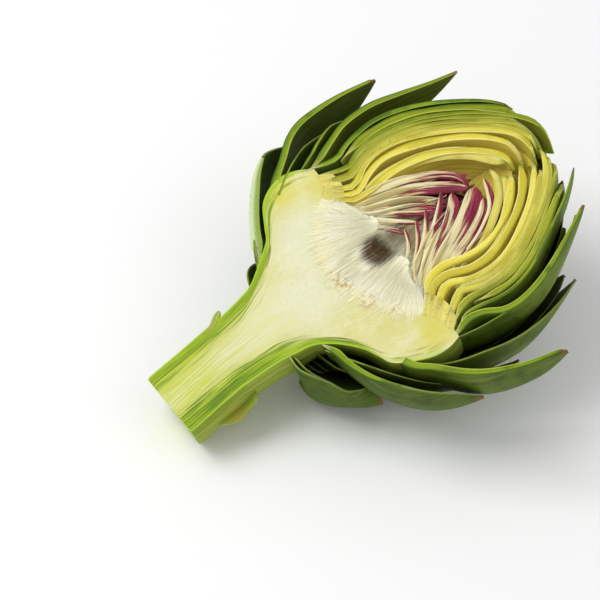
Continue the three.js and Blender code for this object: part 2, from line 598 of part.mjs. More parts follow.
/** The head's frame, tipped up over the table. */
function posed() {
  const group = new THREE.Group();
  group.rotation.y = -TILT;
  group.position.z = LIFT;
  group.updateMatrixWorld();
  return group;
}

/** The space over the table in the head's frame, from which every piece keeps what stands in it. */
function overTable(pose) {
  const side = 4 * BEYOND_TIP; // larger than the artichoke every way
  const box = new THREE.BoxGeometry(side, side, side).translate(0, 0, side / 2);
  box.applyMatrix4(pose.matrixWorld.clone().invert());
  const corner = (i) => new THREE.Vector3().fromBufferAttribute(box.attributes.position, i);
  const triangles = [];
  for (let i = 0; i < box.index.count; i += 3) {
    triangles.push([0, 1, 2].map((k) => corner(box.index.getX(i + k))));
  }
  return solidOf(triangles);
}

function meshOf(name, solid, color, roughness) {
  const { vertProperties, triVerts } = solid.getMesh();
  const geometry = new THREE.BufferGeometry();
  geometry.setAttribute("position", new THREE.BufferAttribute(vertProperties, 3));
  geometry.setIndex(new THREE.BufferAttribute(triVerts, 1));
  geometry.computeVertexNormals();
  const mesh = new THREE.Mesh(geometry, new THREE.MeshStandardMaterial({ color, roughness, metalness: 0 }));
  mesh.name = name;
  return mesh;
}

const head = posed();
const table = overTable(head);
const stemAndHeart = wholeShell(stemAndHeartBody(0, 0).intersect(table));
const grownHeart = stemAndHeartBody(NODE_GAP, PAST_CUT);
const notGreen = insideOfGreen(0).add(grownHeart);
const outerBracts = wholeShell(wholeShell(greenBracts()).subtract(notGreen).intersect(table));
const innerBracts = wholeShell(yellowBracts().intersect(insideOfGreen(-NODE_GAP)).subtract(grownHeart)
  .subtract(cavity(0)));
const chokeSolid = wholeShell(choke());
const violet = wholeShell(violetBracts());

head.add(
  meshOf("stem_and_heart", stemAndHeart, 0xe4e2b4, 0.55),
  meshOf("outer_bracts", outerBracts, 0x6d8f3a, 0.6),
  meshOf("inner_bracts", innerBracts, 0xd9cf72, 0.5),
  meshOf("violet_bracts", violet, 0x9c4a72, 0.5),
  meshOf("choke", chokeSolid, 0xe9e0bf, 0.8),
);

const middle = new THREE.Box3().setFromObject(head, true).getCenter(new THREE.Vector3());
head.position.x -= middle.x;
head.position.y -= middle.y;

const artichoke = new THREE.Group();
artichoke.name = "halved_artichoke";
artichoke.add(head);

export default artichoke;
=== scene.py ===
import math
from types import SimpleNamespace

import bpy
import numpy as np
from bpy.props import FloatProperty, FloatVectorProperty, IntProperty, PointerProperty
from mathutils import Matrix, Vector


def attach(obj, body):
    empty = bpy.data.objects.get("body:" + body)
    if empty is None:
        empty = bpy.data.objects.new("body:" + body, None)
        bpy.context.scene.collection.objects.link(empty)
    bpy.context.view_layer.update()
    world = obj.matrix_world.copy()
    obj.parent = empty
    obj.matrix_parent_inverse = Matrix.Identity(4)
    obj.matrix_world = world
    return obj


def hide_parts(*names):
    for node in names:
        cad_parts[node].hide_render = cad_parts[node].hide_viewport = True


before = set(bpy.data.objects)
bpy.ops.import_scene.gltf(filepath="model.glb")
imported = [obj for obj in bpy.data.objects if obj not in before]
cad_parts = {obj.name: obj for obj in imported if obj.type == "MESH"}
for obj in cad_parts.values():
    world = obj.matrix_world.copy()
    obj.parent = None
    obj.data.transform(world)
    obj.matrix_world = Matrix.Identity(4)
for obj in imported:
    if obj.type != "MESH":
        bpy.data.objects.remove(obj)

bl_info = {
    "name": "Halved Artichoke",
    "version": (1, 0, 0),
    "blender": (4, 5, 0),
    "location": "3D View > Sidebar > Artichoke",
    "description": "Dresses a halved globe artichoke: flesh, choke, violet, yellow and green bracts",
    "category": "Object",
}

# Head frame, in millimetres: u runs along the head's axis from the neck (0) to the tip, r is the distance
# from the axis, and the azimuth turns from the right edge of the cut face (0) round the rounded back to its
# left edge (pi). A point is (u, y, z), with y to the left of the cut face and z out of it.
MM = 0.001
TILT = math.radians(19.4)
NECK = np.array([-27.8525, 4.3622, 32.45])  # the neck's middle in the model, in millimetres
REACH = (73.65, 67.35, 67.45)  # the furthest along x, y and z in the model
NEAR_TIP = 69.5  # x past which the furthest points are drawn in
PRESSED = 0.7  # what would lie lower than this above the table is pressed flat, one layer over the other
ON_CUT = 1e-5  # a point no further than this from the cut face is on it
SEED = 11

STEM_END_RIGHT = -46
STEM_END_LEFT = -48.6
STEM_BEND = 5  # how far the stem's end is bent sideways
BEND_LENGTH = 24  # and the length that bends
STEM_HALF_WIDTH = 13.7
STEM_OFF_CENTRE = 3.7  # the cut passes this far from the stem's middle
STEM_RIBS = 9
RIB_HEIGHT = 0.35
# Shares of the stem's length and of its half width
STEM_WIDTHS = [[1, 0.96], [0.97, 1], [0.7, 0.985], [0.42, 1], [0.22, 1.07], [0.08, 1.18]]
SCAR = (-31.0, -17.0, -10.0)  # middle of a leaf scar on the stem
# Leaf scars of the stem: [u, y, z] paths with their half widths
STEM_SCARS = [([[-37, -16.2, -8], [-32, -16.2, -9], [-27, -15.6, -9], [-21.6, -15.2, -6.6]], 3.4),
              ([[-24.4, 10.6, -0.5], [-20.6, 11.9, -0.5], [-16.4, 14.8, -0.4]], 1.2)]
SCAR_THICKNESS = 1.6
# Places on the cut flesh: brown specks with their radii, white ones with their soft widths, and yellow ones
# with their strengths
BRUISES = [((20.6, -0.9, 0), 1.5), ((22.3, -5.5, 0), 1.0), ((25.4, -14.8, 0), 1.5), ((31.0, -24.0, 0), 0.5),
           ((37.5, 27.0, 0), 1.0), ((39.5, 31.0, 0), 1.0), ((36.0, 30.0, 0), 0.5)]
WHITE_FLESH = [((11.0, -0.3, 0.0), 16.0), ((21.0, 20.0, 0.0), 13.0)]
YELLOW_FLESH = [((24.0, 40.5, 0), 0.9), ((35.8, -39.9, 0), 0.7), ((36.0, 35.0, 0), 0.6),
                ((41.0, -33.0, 0), 0.6)]
HOLLOW = (38.0, -0.6, -1.5)  # middle of the hollow in the choke, painted dark brown: partly its own brown, partly painted shade of the pit
NECK_ROUND = (-10, 16)  # the stem's section turns into the head's between these, along u
HEAD_ROUND = (17, 30)  # and also between these, away from the axis
BACK_FLATNESS = 0.14  # the rounded back is this share flatter than a true half
NARROW_REACH = 9  # a bract wraps round no tighter a circle than this
WIDEST_WRAP = 0.95  # and no further than this to each side, in radians
GOLDEN_ANGLE = 137.508
BUD_MIDDLE = 62  # u of the closed head's middle, which closing bracts wrap round past it
VIOLET_MIDDLE = 40  # the same for the violet bracts
CLOSING_SHRINK = 0.08  # closing bracts reach this share less far where they pass behind the cut face
TIP_TURN = 0.4  # a bract's midline turns from its root's azimuth to its tip's from this share on
FLESH_SINK = 0.2  # the flesh lies this far below the edges of the bracts
RING_SINK = 0.16  # the ring that the yellow bracts grow from a little less
CHOKE_SINK = 0.26  # and the choke's core a little more
LAYER_SINK = 0.008  # and each next bract's edge lies this far below the last
FLESH_GRID = (100, 60, 30)  # faces along, across and through
CHOKE_GRID = (36, 60, 30)
RING_GRID = (8, 60, 10)
STRAP_GRID = (30, 10)
DISH_BOTTOM = 20.4  # u where the axis meets the dish that the choke grows on
CHOKE_GAP = 0.4  # the choke's core starts this far over the dish
RIM_GAP = 0.5  # and over the dish's rim
GRAIN_STRIDE = 7.3  # the patterns of two bracts with seeds one apart are this far apart

# Half outlines of the flesh's heart and of the dish on its top, as [u, r] points
HEART_RIGHT = [[2, 18.3], [9.5, 22.7], [15, 29.6], [17.6, 35.2], [20.5, 40.5], [30, 46], [37, 47],
    [42, 45.6]]
HEART_LEFT = [[0, 20.4], [4.5, 23], [9.5, 27.8], [12, 33.3], [16.5, 42], [24, 46.5], [31, 45.6],
    [37, 41.5]]
DISH_RIGHT = [[DISH_BOTTOM, 0], [22.4, 8.5], [26, 17], [31.5, 25], [37, 31], [40.4, 36], [42, 42]]
DISH_LEFT = [[DISH_BOTTOM, 0], [21.2, 9], [24, 17.5], [29, 25], [33.5, 29.5], [36.4, 33.5], [37, 38]]

# Each cut bract: its line from root to tip, the azimuths of its midline at the root and at the tip, in
# degrees from the nearer edge of the cut face, its half width and its thickness
CUT_GREEN_RIGHT = [
    ([[4, 17], [7, 24], [8.5, 32], [12, 41.5], [18, 50.5], [26, 57.5], [38, 62.8]], 27, 14, 26, 2.2),
    ([[21, 34], [22.6, 40], [25, 45.5], [29.5, 50], [36, 57.5], [43, 63], [54, 68], [66.7, 71.2]],
     10, 2, 20, 2.6),
    ([[26, 42], [33, 48.5], [42, 53], [54, 55.2], [64, 54.4], [75, 51], [86, 46.5]], 30, 30, 25, 1.8),
    ([[38, 45.5], [43.6, 43.4], [48, 42.1], [53, 43.3], [58.5, 46.8], [64.6, 47.6], [72, 46],
      [80, 42.5], [90, 36.8], [99.7, 30.8]], 6, 1, 17, 2.4),
    ([[43.5, 43], [47.5, 40], [53, 40.6], [59, 42], [65.5, 42.2], [74, 39.6], [82, 34.6], [90, 29.2],
      [98, 23.4], [105.3, 16.8]], 14, 2, 21, 1.3),
]
CUT_GREEN_LEFT = [
    ([[3, 21], [6.8, 30], [11, 39], [16, 47.6], [21, 54.6], [27, 59.6], [34, 62], [42, 63.2]],
     15, 15, 24, 3.7),
    ([[17, 40.5], [25, 47.5], [31, 53], [36, 58], [42, 61.2], [50, 62], [60, 61.4], [72.3, 59]],
     6, 1, 18, 2.6),
    ([[31, 44], [38.5, 47.4], [43, 50.4], [48, 53], [53, 54.2], [60, 54.2], [68, 52.4]], 19, 19, 21, 1.6),
    ([[33.5, 42.5], [40, 44], [47, 47.2], [53, 50], [59, 51], [66.5, 50.6], [76, 47.7], [86, 44.4],
      [95.8, 41.8]], 4, 0, 14, 2.3),
]
# The bracts that close over the head's tip, outermost first: the first of each side is green
CLOSED_RIGHT = [
    ([[45.5, 38.8], [48, 37], [52.5, 35.9], [59, 37], [66, 37.1], [73.5, 35], [82.5, 29.8],
      [90.5, 23.4], [98, 16.2], [102.4, 8.6], [104, 2.5]], 16, 16, 23, 1.3),
    ([[44.5, 36.5], [48.4, 33.6], [51.8, 31.8], [58.3, 34.4], [66.8, 33.9], [75.6, 30.6],
      [84.8, 24.6], [92.5, 18.4], [97.8, 11.6], [100.2, 6], [100.8, 1.5]], 5, 5, 22, 1.5),
    ([[42.5, 32], [46, 28.4], [50, 27], [57, 30.4], [65.5, 30.6], [75, 27], [84, 20.8], [91, 14],
      [95.4, 7.2], [96.6, 2]], 12, 12, 21, 1.5),
    ([[42, 28.6], [45.4, 24.4], [51, 23.6], [58.5, 26.6], [66.6, 26.4], [76, 22.2], [84.6, 15.8],
      [90, 9], [92.4, 3]], 4, 4, 20, 1.6),
    ([[42, 25.4], [45.2, 21.6], [51.4, 20], [59.6, 22], [68, 22], [76.5, 18], [83, 12], [87.2, 6],
      [88.6, 1]], 14, 14, 19, 1.5),
]
CLOSED_LEFT = [
    ([[33, 43.6], [39, 41.4], [45.5, 40.2], [50, 42.4], [56, 44], [63.5, 44.6], [72, 42.4],
      [81.5, 37.6], [91, 30.6], [97.6, 24.4], [102.5, 17.5]], 12, 3, 22, 2),
    ([[39.5, 37], [43.4, 35.2], [47.5, 34.4], [51.5, 37], [58, 38.8], [66, 37.9], [76, 34.5],
      [87.5, 27], [97.5, 18], [104.3, 8.8], [106.4, 1.5], [105.7, -4]], 8, 8, 23, 1.6),
    ([[38.6, 34.4], [42, 32.2], [45.5, 31], [51.3, 34], [57, 35.5], [64.6, 35], [74.5, 31.4],
      [86, 24], [96.4, 14.8], [101.4, 7.2], [102.6, 0.8], [101.4, -5]], 15, 15, 22, 1.2),
    ([[37.5, 31], [41, 28], [45, 26.8], [50.5, 30.6], [56.5, 32.4], [64.9, 31.4], [74.5, 27.4],
      [85.5, 20.2], [94, 12.6], [98.2, 5.4], [98.6, -0.6], [97.2, -6]], 5, 5, 21, 1.4),
    ([[37.5, 28.4], [41, 24.8], [45, 23.8], [50.2, 27], [57, 29], [65.6, 27.6], [75, 23.4],
      [84.5, 17.2], [91.6, 9.6], [94.6, 2.6], [94, -3.4]], 13, 13, 20, 1.4),
    ([[38, 25], [41.6, 21.8], [48, 21.4], [58, 22.4], [69, 20.4], [79, 14.6], [86.6, 7.6],
      [90, 1.4], [90, -3.4]], 4, 4, 19, 1.8),
]
BACK_LINES = [
    [[-1, 15], [3, 26], [8, 36], [15, 44.5], [24, 51.5], [35, 56]],
    [[6, 22], [12, 33], [20, 44], [31, 53], [45, 58.5], [61, 59.5]],
    [[17, 34], [25, 43], [36, 50.5], [49, 54.6], [63, 54.6], [78, 51]],
    [[28, 42], [37, 46], [49, 49.6], [63, 50], [79, 44.8], [95, 36]],
    [[36, 43], [45, 42.6], [57, 45], [71, 43.4], [88, 33], [102, 17.5]],
]
BACK_YELLOW = [
    ([[41, 38], [48, 35.4], [58, 37.6], [71, 35.6], [88, 25.6], [103, 9.6]], 90, 90, 29, 1.4),
    ([[40, 33], [47, 28.8], [57, 31.8], [70, 30.2], [86, 19.4], [100, 4]], 90, 90, 25, 1.4),
    ([[40, 27], [46, 23.6], [57, 24.4], [69, 22], [81, 14.4], [91, 3]], 90, 90, 24, 1.2),
]
RING_SHARE = 0.055  # the ring is coloured as a bract is at this share of its length
ROOT_OVERLAP = 1.5  # the ring that the yellow bracts grow from reaches this far down over the heart
THIN_LAYERS = 3  # closed layers with a thin bract outside of each
BACK_BRACTS = 21
SPIRAL_START = 96  # azimuth of the first turn of the back's spiral, in degrees
BACK_WINDOW = 19  # its bracts keep this far from the cut face, in degrees
BACK_WANDER = 4  # a seeded draw moves them by up to half of this, in degrees
BACK_HALF_WIDTH = 23
BACK_SPREAD = 0.1  # and makes them wider or narrower by up to half of this share
BACK_THICKNESS = 1.2
BACK_SEED = 7
NECK_BRACTS = [
    ([[-6, 15], [-6, 23], [-4, 31], [0, 37], [6, 40.5], [12, 42]], 34, 34, 15, 1.8),
    ([[-5, 13], [-4, 21], [-1, 28], [3, 34], [9, 39], [16, 43]], 58, 58, 22, 1.8),
    ([[-4, 15], [-2, 23], [2, 31], [8, 38], [15, 43], [23, 46]], 128, 128, 20, 1.8),
    ([[-3, 14], [-1, 20], [3, 27], [9, 34], [17, 41], [26, 46]], 88, 88, 18, 1.8),
]
NECK_TWISTS = [4, 0, 0, 0]  # how far their sides are turned outwards and inwards
# Ring of flesh that the yellow bracts grow from: its lower and its upper line
ROOTS_RIGHT = [[[38, 31], [41.4, 36], [42.6, 43]], [[42, 24], [45.4, 32], [45, 39.5]]]
ROOTS_LEFT = [[[34.5, 29.5], [37.4, 33.5], [37.6, 39]], [[38.5, 22.5], [41.4, 29.5], [41, 35.9]]]
# Violet bracts that the knife cut, and the lines that those of the back follow
VIOLET_RIGHT = [
    ([[48, 26.5], [56, 23.5], [64, 21.3], [73.2, 15.8], [80, 9.9], [83.2, 3.5]], 12, 12, 5.5, 0.7),
    ([[46.5, 25], [55, 22], [62.7, 19], [72, 14.6], [76.5, 9.6], [78.6, 3.5]], 11, 11, 5, 0.7),
    ([[43, 22.6], [48.6, 17.7], [58.3, 11.6], [65.5, 7.3], [75.8, 3]], 13, 13, 4.8, 0.9),
    ([[42, 20.4], [46, 15.4], [53, 9.8], [59.1, 6.1], [68, 1.6]], 10, 10, 3.2, 0.8),
    ([[41.4, 18.4], [45, 12.6], [52, 7.6], [58.8, 3.8], [66.6, 0.6]], 7, 7, 1.9, 0.7),
]
VIOLET_LEFT = [
    ([[40.5, 22.6], [49.5, 21.4], [58.2, 19], [65.9, 15], [72.5, 9.4], [75.4, 4.6]], 10, 10, 5, 0.7),
    ([[41, 20], [47, 18.4], [54.4, 15.9], [62.2, 12.2], [69.3, 7.4], [74, 2.4]], 12, 12, 4.6, 0.8),
    ([[41, 17.6], [47, 15], [53, 12.4], [60, 8.4], [67, 3.4]], 9, 9, 3.4, 0.7),
    ([[41.4, 15], [46, 12], [52, 9.4], [58, 6.2], [64, 2]], 7, 7, 2.4, 0.7),
]
VIOLET_BACK = [
    ([[42.4, 19], [50, 18], [58, 15.6], [67, 12.4], [77, 7]], (30, 48, 66, 84, 102, 120, 138, 154), 4.6),
    ([[42.4, 16.4], [46, 12.8], [52, 9.2], [59, 6.4], [67, 3.2]], (24, 42, 60, 80, 100, 120, 138, 156), 3),
]
# Violet straps that show their faces, as [u, y, z] paths, with their half widths
VIOLET_STRAPS = [
    ([[42.3, 20.2, -2.6], [50.7, 17.3, -2.6], [58.5, 13.6, -2.5], [65.8, 9.1, -2.5], [71.1, 4.8, -2.4],
      [74, 1, -2.4]], 2),
    ([[42.2, 21.3, -1.2], [50, 20.1, -1.1], [58.2, 17.7, -1.1], [65.9, 13.8, -1.1], [72, 8.7, -1],
      [74.4, 4.1, -1], [74.5, 0.4, -0.9]], 1.3),
    ([[42.1, 18.8, -3.2], [49.4, 15.6, -3.2], [56.6, 10.9, -3.1], [61.8, 6.1, -3], [65.5, 1.1, -3]], 1.1),
    ([[39.5, 20.9, -2.4], [44.9, 15.7, -2.4], [52, 9.4, -2.3], [57.3, 5, -2.2], [61.9, 1.3, -2.2]], 1.2),
    ([[37.9, 19.2, -1.8], [44.3, 13, -1.8], [51.1, 7.6, -1.7], [56.5, 3.3, -1.7], [62.3, -0.8, -1.6]], 1),
    ([[36.8, 17.7, -1.3], [41.9, 12.1, -1.3], [48.1, 5.8, -1.2], [52.4, 1.6, -1.2], [54.2, -1.2, -1.2]], 0.9),
    ([[37.1, 14.6, -0.9], [41.9, 8.5, -0.9], [46.2, 2.3, -0.8], [49, -2.1, -0.8]], 0.7),
    ([[44, -20.1, -3.4], [49.7, -17.4, -3], [56.6, -14.7, -2.6], [65.7, -9.8, -2.1], [72.3, -5.2, -1.7],
      [76.6, -1.1, -1.3]], 3.3),
    ([[42.9, -19.6, -2.8], [47.4, -16.8, -2.4], [53.7, -12.6, -2.1], [61.1, -7.2, -1.7], [66.2, -2.3, -1.4],
      [68.8, 2.3, -1]], 2.2),
    ([[42.6, -17.8, -2.2], [47.7, -13.5, -1.9], [53.9, -8.1, -1.6], [59.8, -2.4, -1.4], [63.6, 1.7, -1.1],
      [66.3, 5.3, -0.8]], 1.1),
    ([[42.8, -15.7, -2], [49.5, -9.4, -1.5], [54.9, -3.4, -1.1], [58.7, 2.5, -0.6]], 0.9),
    ([[42.9, -13.6, -1.8], [48.2, -8.4, -1.4], [51.4, -4, -0.9], [54.1, 1.1, -0.5]], 0.7),
    ([[42.7, -9.7, -1.4], [45.8, -6.7, -1.1], [47.8, -3.6, -0.7], [49.1, 0.5, -0.4]], 0.6),
    ([[49.2, -20.4, -3.6], [55.1, -18.7, -3.3], [60.9, -16.5, -3], [67.1, -13.6, -2.6], [72.9, -9.7, -2.3],
      [76.2, -5.8, -2]], 1.6),
    ([[61.5, -19.1, -2.2], [67.8, -16.7, -1.9], [72.4, -13.9, -1.6], [76.1, -10.7, -1.4], [78.9, -5.4, -1.1],
      [80.2, 0, -0.8]], 1.2),
]
FIRST_RIGHT_STRAP = 7
# Inner yellow bracts that show their faces
YELLOW_STRAPS = [
    ([[46.8, 22.7, -0.9], [53.6, 24, -0.9], [61.3, 22.6, -0.8], [69.1, 20.1, -0.8], [76.6, 15.9, -0.7],
      [82.8, 10.4, -0.7], [86.8, 4.1, -0.6], [89.4, 0, -0.6]], 2.1),
    ([[62.2, -22, -1.6], [68.8, -19, -1.4], [74.1, -15.2, -1.2], [79.9, -9.3, -1], [83.1, -3.1, -0.8],
      [83.6, 1.5, -0.6]], 1.3),
    ([[64.8, -25.5, -1.2], [72.4, -22.3, -1.1], [78.6, -16.8, -0.9], [83.4, -10, -0.8], [85.7, -3.4, -0.6]],
     1.4),
]
# The choke's outline over the dish, from the hollow on the axis to the rim
BRUSH_RIGHT = [[36.4, 0], [37, 2.4], [39.6, 5], [43, 8], [43.8, 11], [41.8, 13.5], [40.8, 18],
    [40.4, 25], [38, 31.2]]
BRUSH_LEFT = [[36.4, 0], [37, 2.4], [39.6, 5], [43, 8], [43.6, 11], [41.4, 14], [39.8, 19],
    [37.6, 24.6], [34.6, 29.2]]

# How each kind of bract is shaped
CUT_STYLE = {"tuck": 1.0, "wave": 0.2, "sharp_root": 1}
CLOSING_STYLE = {"tuck": 1.0, "wave": 0.1, "middle": BUD_MIDDLE, "sharp_root": 1}
BACK_STYLE = {"tuck": 0.3, "wave": 0.3, "order": 12, "sharp_root": 0.9, "root_sink": 1.2}
NECK_STYLE = {"wave": 0.3, "order": 12, "ribs": 7, "sharp_root": 0.9}
LAYER_STYLE = {"wave": 0.12, "ribs": 6, "middle": BUD_MIDDLE, "sharp_root": 0.8, "root_sink": 0.36,
               "root_fade": 0.105}
THIN_STYLE = {"wave": 0.12, "ribs": 6, "middle": BUD_MIDDLE, "sharp_root": 1}
BEHIND_STYLE = {"wave": 0.2, "order": 16, "ribs": 6}
VIOLET_STYLE = {"grid": (30, 12), "wave": 0.15, "ribs": 3, "finest": 0.2, "middle": VIOLET_MIDDLE}
VIOLET_BACK_STYLE = {"grid": (26, 8), "wave": 0.3, "ribs": 3, "finest": 0.25}
VIOLET_THICKNESS = 0.7  # of those at the back
LEAST_WIDTH = 0.25  # a bract's half width at its tip
TIP_THINNING = 0.55  # a bract is this share thinner at its tip
SIDE_THINNING = (0.75, 0.3)  # and at its sides: most bracts, and the closed layers
ROOT_THICKENING = 0.5  # and this share thicker at its root
SHARPENED = 0.16  # share of its length over which a root is sharpened
RIB_RELIEF = 0.06
RIBLESS = 0.25  # a bract's ribs and waves fade out this near the cut face, in radians
LAYER_DEPTHS = (0.3, 2.6)  # thinnest and thickest that a closed layer gets
ROOT_SINKS = (0.5, 1.1)  # how far the roots of the cut green bracts sink, on the right and on the left
ROOTED = 6  # the closed layers start this far down in the flesh
LAYER_SHARES = (0.5, 0.7)  # a layer takes this share of its room where it has a thin bract outside it or none
THIN_SHARE = 0.4  # and the thin bract takes this share
THIN_TURN = 3  # degrees that a thin bract is turned from its layer
WAXY = -1  # tone of a green bract that is waxy where it is cut
YELLOW_ROLL = 0.25  # how steeply a strap's left edge is raised
VIOLET_ROLL = 0.35
SHALLOWEST = 0.02  # a strap stays this far below the cut face

HAIR_RINGS = (0.35, 0.7)
HAIR_RADII = (0.06, 0.15)
HAIR_ROLL = 0.22
HAIRS_ON_FACE = 0.45  # share of the hairs that lie on the cut face
HAIR_TIPS = 45.5  # u that most hairs reach at the most
BEHIND_RISE = 2.5  # and how much further those behind the cut face reach
SHORT_WITHIN = 6  # hairs that grow this near the axis are short, and leave the hollow open
SHORT_TIPS = 35.5
HAIR_LEANS = (0.62, 0.3)  # how far a tip lies out for how far its foot does: most, and left on the face
FACE_REACHES = (0.4, 1.05)  # shares of their way that the hairs on the cut face reach
BEHIND_REACHES = (0.8, 1.1)  # and those behind it
HAIR_SINKS = (0.03, 0.2)  # hairs lie this far below the cut face
FOOT_DIP = 0.14  # a hair's foot lies this much deeper than its tip

FLOOR_COLOUR = (0.95, 0.95, 0.95)
LIGHTS = {"key": ((-0.5, 0.32, 0.95), 0.7), "fill": ((0.7, -0.6, 0.7), 0.8)}  # places and sides, in metres
LIGHTS_AIM = Vector((0, 0, 0.03))
SENSOR = 36
FOCAL_LENGTH = 2440 / 600  # of the camera, in widths of its picture
AIM = (0.00607, 0.00426)  # the camera looks this far to the right of the neck and above it, in metres


# ---- Shapes in the head's frame


def smooth(value, low, high):
    t = np.clip((value - low) / (high - low), 0, 1)
    return t * t * (3 - 2 * t)


def lerp(a, b, t):
    return a + (b - a) * t


def section_share(u, r, azimuth):
    """How far the round section reaches at an azimuth, as a share of its reach in the cut face."""
    head = 1 - BACK_FLATNESS * np.sin(azimuth) ** 2
    radius = math.hypot(STEM_HALF_WIDTH, STEM_OFF_CENTRE)
    across = STEM_OFF_CENTRE * np.cos(azimuth)
    stem = (STEM_OFF_CENTRE * np.sin(azimuth) + np.sqrt(radius**2 - across**2)) / STEM_HALF_WIDTH
    return lerp(stem, head, np.maximum(smooth(u, *NECK_ROUND), smooth(r, *HEAD_ROUND)))


def bend_at(u):
    """How far the stem has bent sideways at u."""

    def run(length):
        return smooth(length, 0, BEND_LENGTH) * BEND_LENGTH / 2 + np.maximum(0, length - BEND_LENGTH)

    return STEM_BEND * run(-u) / run(-STEM_END_RIGHT)


def place(u, r, azimuth):
    reach = r * section_share(u, r, azimuth)
    return np.stack([u, -reach * np.cos(azimuth) - bend_at(u), -reach * np.sin(azimuth)], axis=-1)


def place_closing(u, r, azimuth, middle):
    """A point of a bract that wraps round the axis and, past a middle, round that middle."""
    turn = np.minimum(azimuth, math.pi - azimuth)
    centre = np.minimum(u, middle)
    depth = np.hypot(u - centre, r) * (1 - BACK_FLATNESS * np.sin(turn) ** 2) * np.sin(turn)
    forward = (u - centre) * np.cos(turn) * (1 - CLOSING_SHRINK * np.sin(turn))
    return np.stack([centre + forward, -r * np.cos(azimuth), -depth], axis=-1)


def to_model(points):
    """Points of the head's frame in the model's frame, in metres, held inside the box of its solids."""
    c, s = math.cos(TILT), math.sin(TILT)
    turn = np.array([[c, 0, -s], [0, 1, 0], [s, 0, c]])
    x, y, z = np.moveaxis(points @ turn.T + NECK, -1, 0)
    past, spare = np.maximum(x - NEAR_TIP, 0), REACH[0] - NEAR_TIP
    x = x + spare * np.tanh(past / spare) - past
    z = np.minimum(z, REACH[2])
    z = np.where(z < PRESSED, PRESSED * np.exp(np.minimum(z / PRESSED - 1, 0)), z)
    return np.stack([x, np.clip(y, -REACH[1], REACH[1]), z], axis=-1) * MM


class Line:
    """A smooth curve through points, read at shares of its length."""

    SAMPLES = 240

    def __init__(self, points):
        knots = np.array(points, float)
        last = len(knots) - 1
        t = np.linspace(0, last, self.SAMPLES)
        i = np.minimum(t.astype(int), last - 1)
        w = (t - i)[:, None]
        p0, p1 = knots[np.maximum(i - 1, 0)], knots[i]
        p2, p3 = knots[i + 1], knots[np.minimum(i + 2, last)]
        v0, v1 = (p2 - p0) / 2, (p3 - p1) / 2
        self.points = (2 * (p1 - p2) + v0 + v1) * w**3 + (3 * (p2 - p1) - 2 * v0 - v1) * w**2 + v0 * w + p1
        steps = np.linalg.norm(np.diff(self.points, axis=0), axis=1)
        reach = np.concatenate([[0], np.cumsum(steps)])
        self.length = reach[-1]
        self.shares = reach / self.length
        slope = np.gradient(self.points, self.shares, axis=0)
        self.slopes = slope / np.linalg.norm(slope, axis=1)[:, None]

    def at(self, share):
        return np.stack([np.interp(share, self.shares, column) for column in self.points.T], axis=-1)

    def out(self, share):
        along = [np.interp(share, self.shares, self.slopes[:, k]) for k in (0, 1)]
        return np.stack([-along[1], along[0]], axis=-1)


def between(first, second, mix, start, end):
    """A line part of the way between two others, cut to a stretch of them."""
    shares = np.linspace(start, end, 14)
    return lerp(Line(first).at(shares), Line(second).at(shares), mix).tolist()


def rooted(line, length):
    """A line that starts a length further down, in the flesh it grows from."""
    first, second = np.array(line[0], float), np.array(line[1], float)
    step = (first - second) / np.linalg.norm(first - second)
    return [(first + step * length).tolist(), *line]


# ---- Meshes


BLANKS = {}


def blank(rows, columns, layers):
    """A block of quads, modelled once from a grid and copied: 1 along x, 1 along y and 1 high."""
    key = (rows, columns, layers)
    if key not in BLANKS:
        bpy.ops.object.select_all(action="DESELECT")
        bpy.ops.mesh.primitive_grid_add(x_subdivisions=rows, y_subdivisions=columns, size=1)
        start = bpy.context.object
        bpy.ops.object.mode_set(mode="EDIT")
        for _ in range(layers):
            bpy.ops.mesh.extrude_region_move(TRANSFORM_OT_translate={"value": (0, 0, 1 / layers)})
        bpy.ops.object.mode_set(mode="OBJECT")
        BLANKS[key] = start.data
        bpy.data.objects.remove(start)
    return BLANKS[key].copy()


def block_places(mesh):
    """Where each vertex of a blank is: 0 to 1 along, -1 to 1 across and 0 to 1 through."""
    co = np.zeros(len(mesh.vertices) * 3)
    mesh.vertices.foreach_get("co", co)
    co = co.reshape(-1, 3).round(5)
    return co[:, 0] + 0.5, co[:, 1] * 2, co[:, 2]


def note(mesh, cut, grain, leaf, tone):
    """Writes what the finishes read: whether a face is cut, and the vertices' grain, leaf and tone.

    Grain is in millimetres along and across the fibres, and leaf is the shares along, across and through."""
    for name, domain, values in (("cut", "FACE", cut), ("grain", "POINT", grain), ("leaf", "POINT", leaf),
                                 ("tone", "POINT", tone)):
        vector = isinstance(values, tuple)
        if vector:
            values = np.stack(np.broadcast_arrays(*values), axis=-1)
        attribute = mesh.attributes.new(name, "FLOAT_VECTOR" if vector else "FLOAT", domain)
        values = np.ascontiguousarray(values, dtype=np.float32).ravel()
        attribute.data.foreach_set("vector" if vector else "value", values)


def shape(mesh, points, sink, grain, leaf, tone=0.0):
    """Moves a blank's vertices to points of the head's frame, and those of the cut face a little below it."""
    on_cut = np.abs(points[:, 2]) < ON_CUT
    corners = np.zeros(len(mesh.polygons) * 4, int)
    mesh.polygons.foreach_get("vertices", corners)
    note(mesh, on_cut[corners.reshape(-1, 4)].all(axis=1), grain, leaf, np.full(len(points), tone))
    points[on_cut, 2] = -np.broadcast_to(sink, len(points))[on_cut]
    mesh.vertices.foreach_set("co", to_model(points).astype(np.float32).ravel())
    mesh.update()
    return mesh


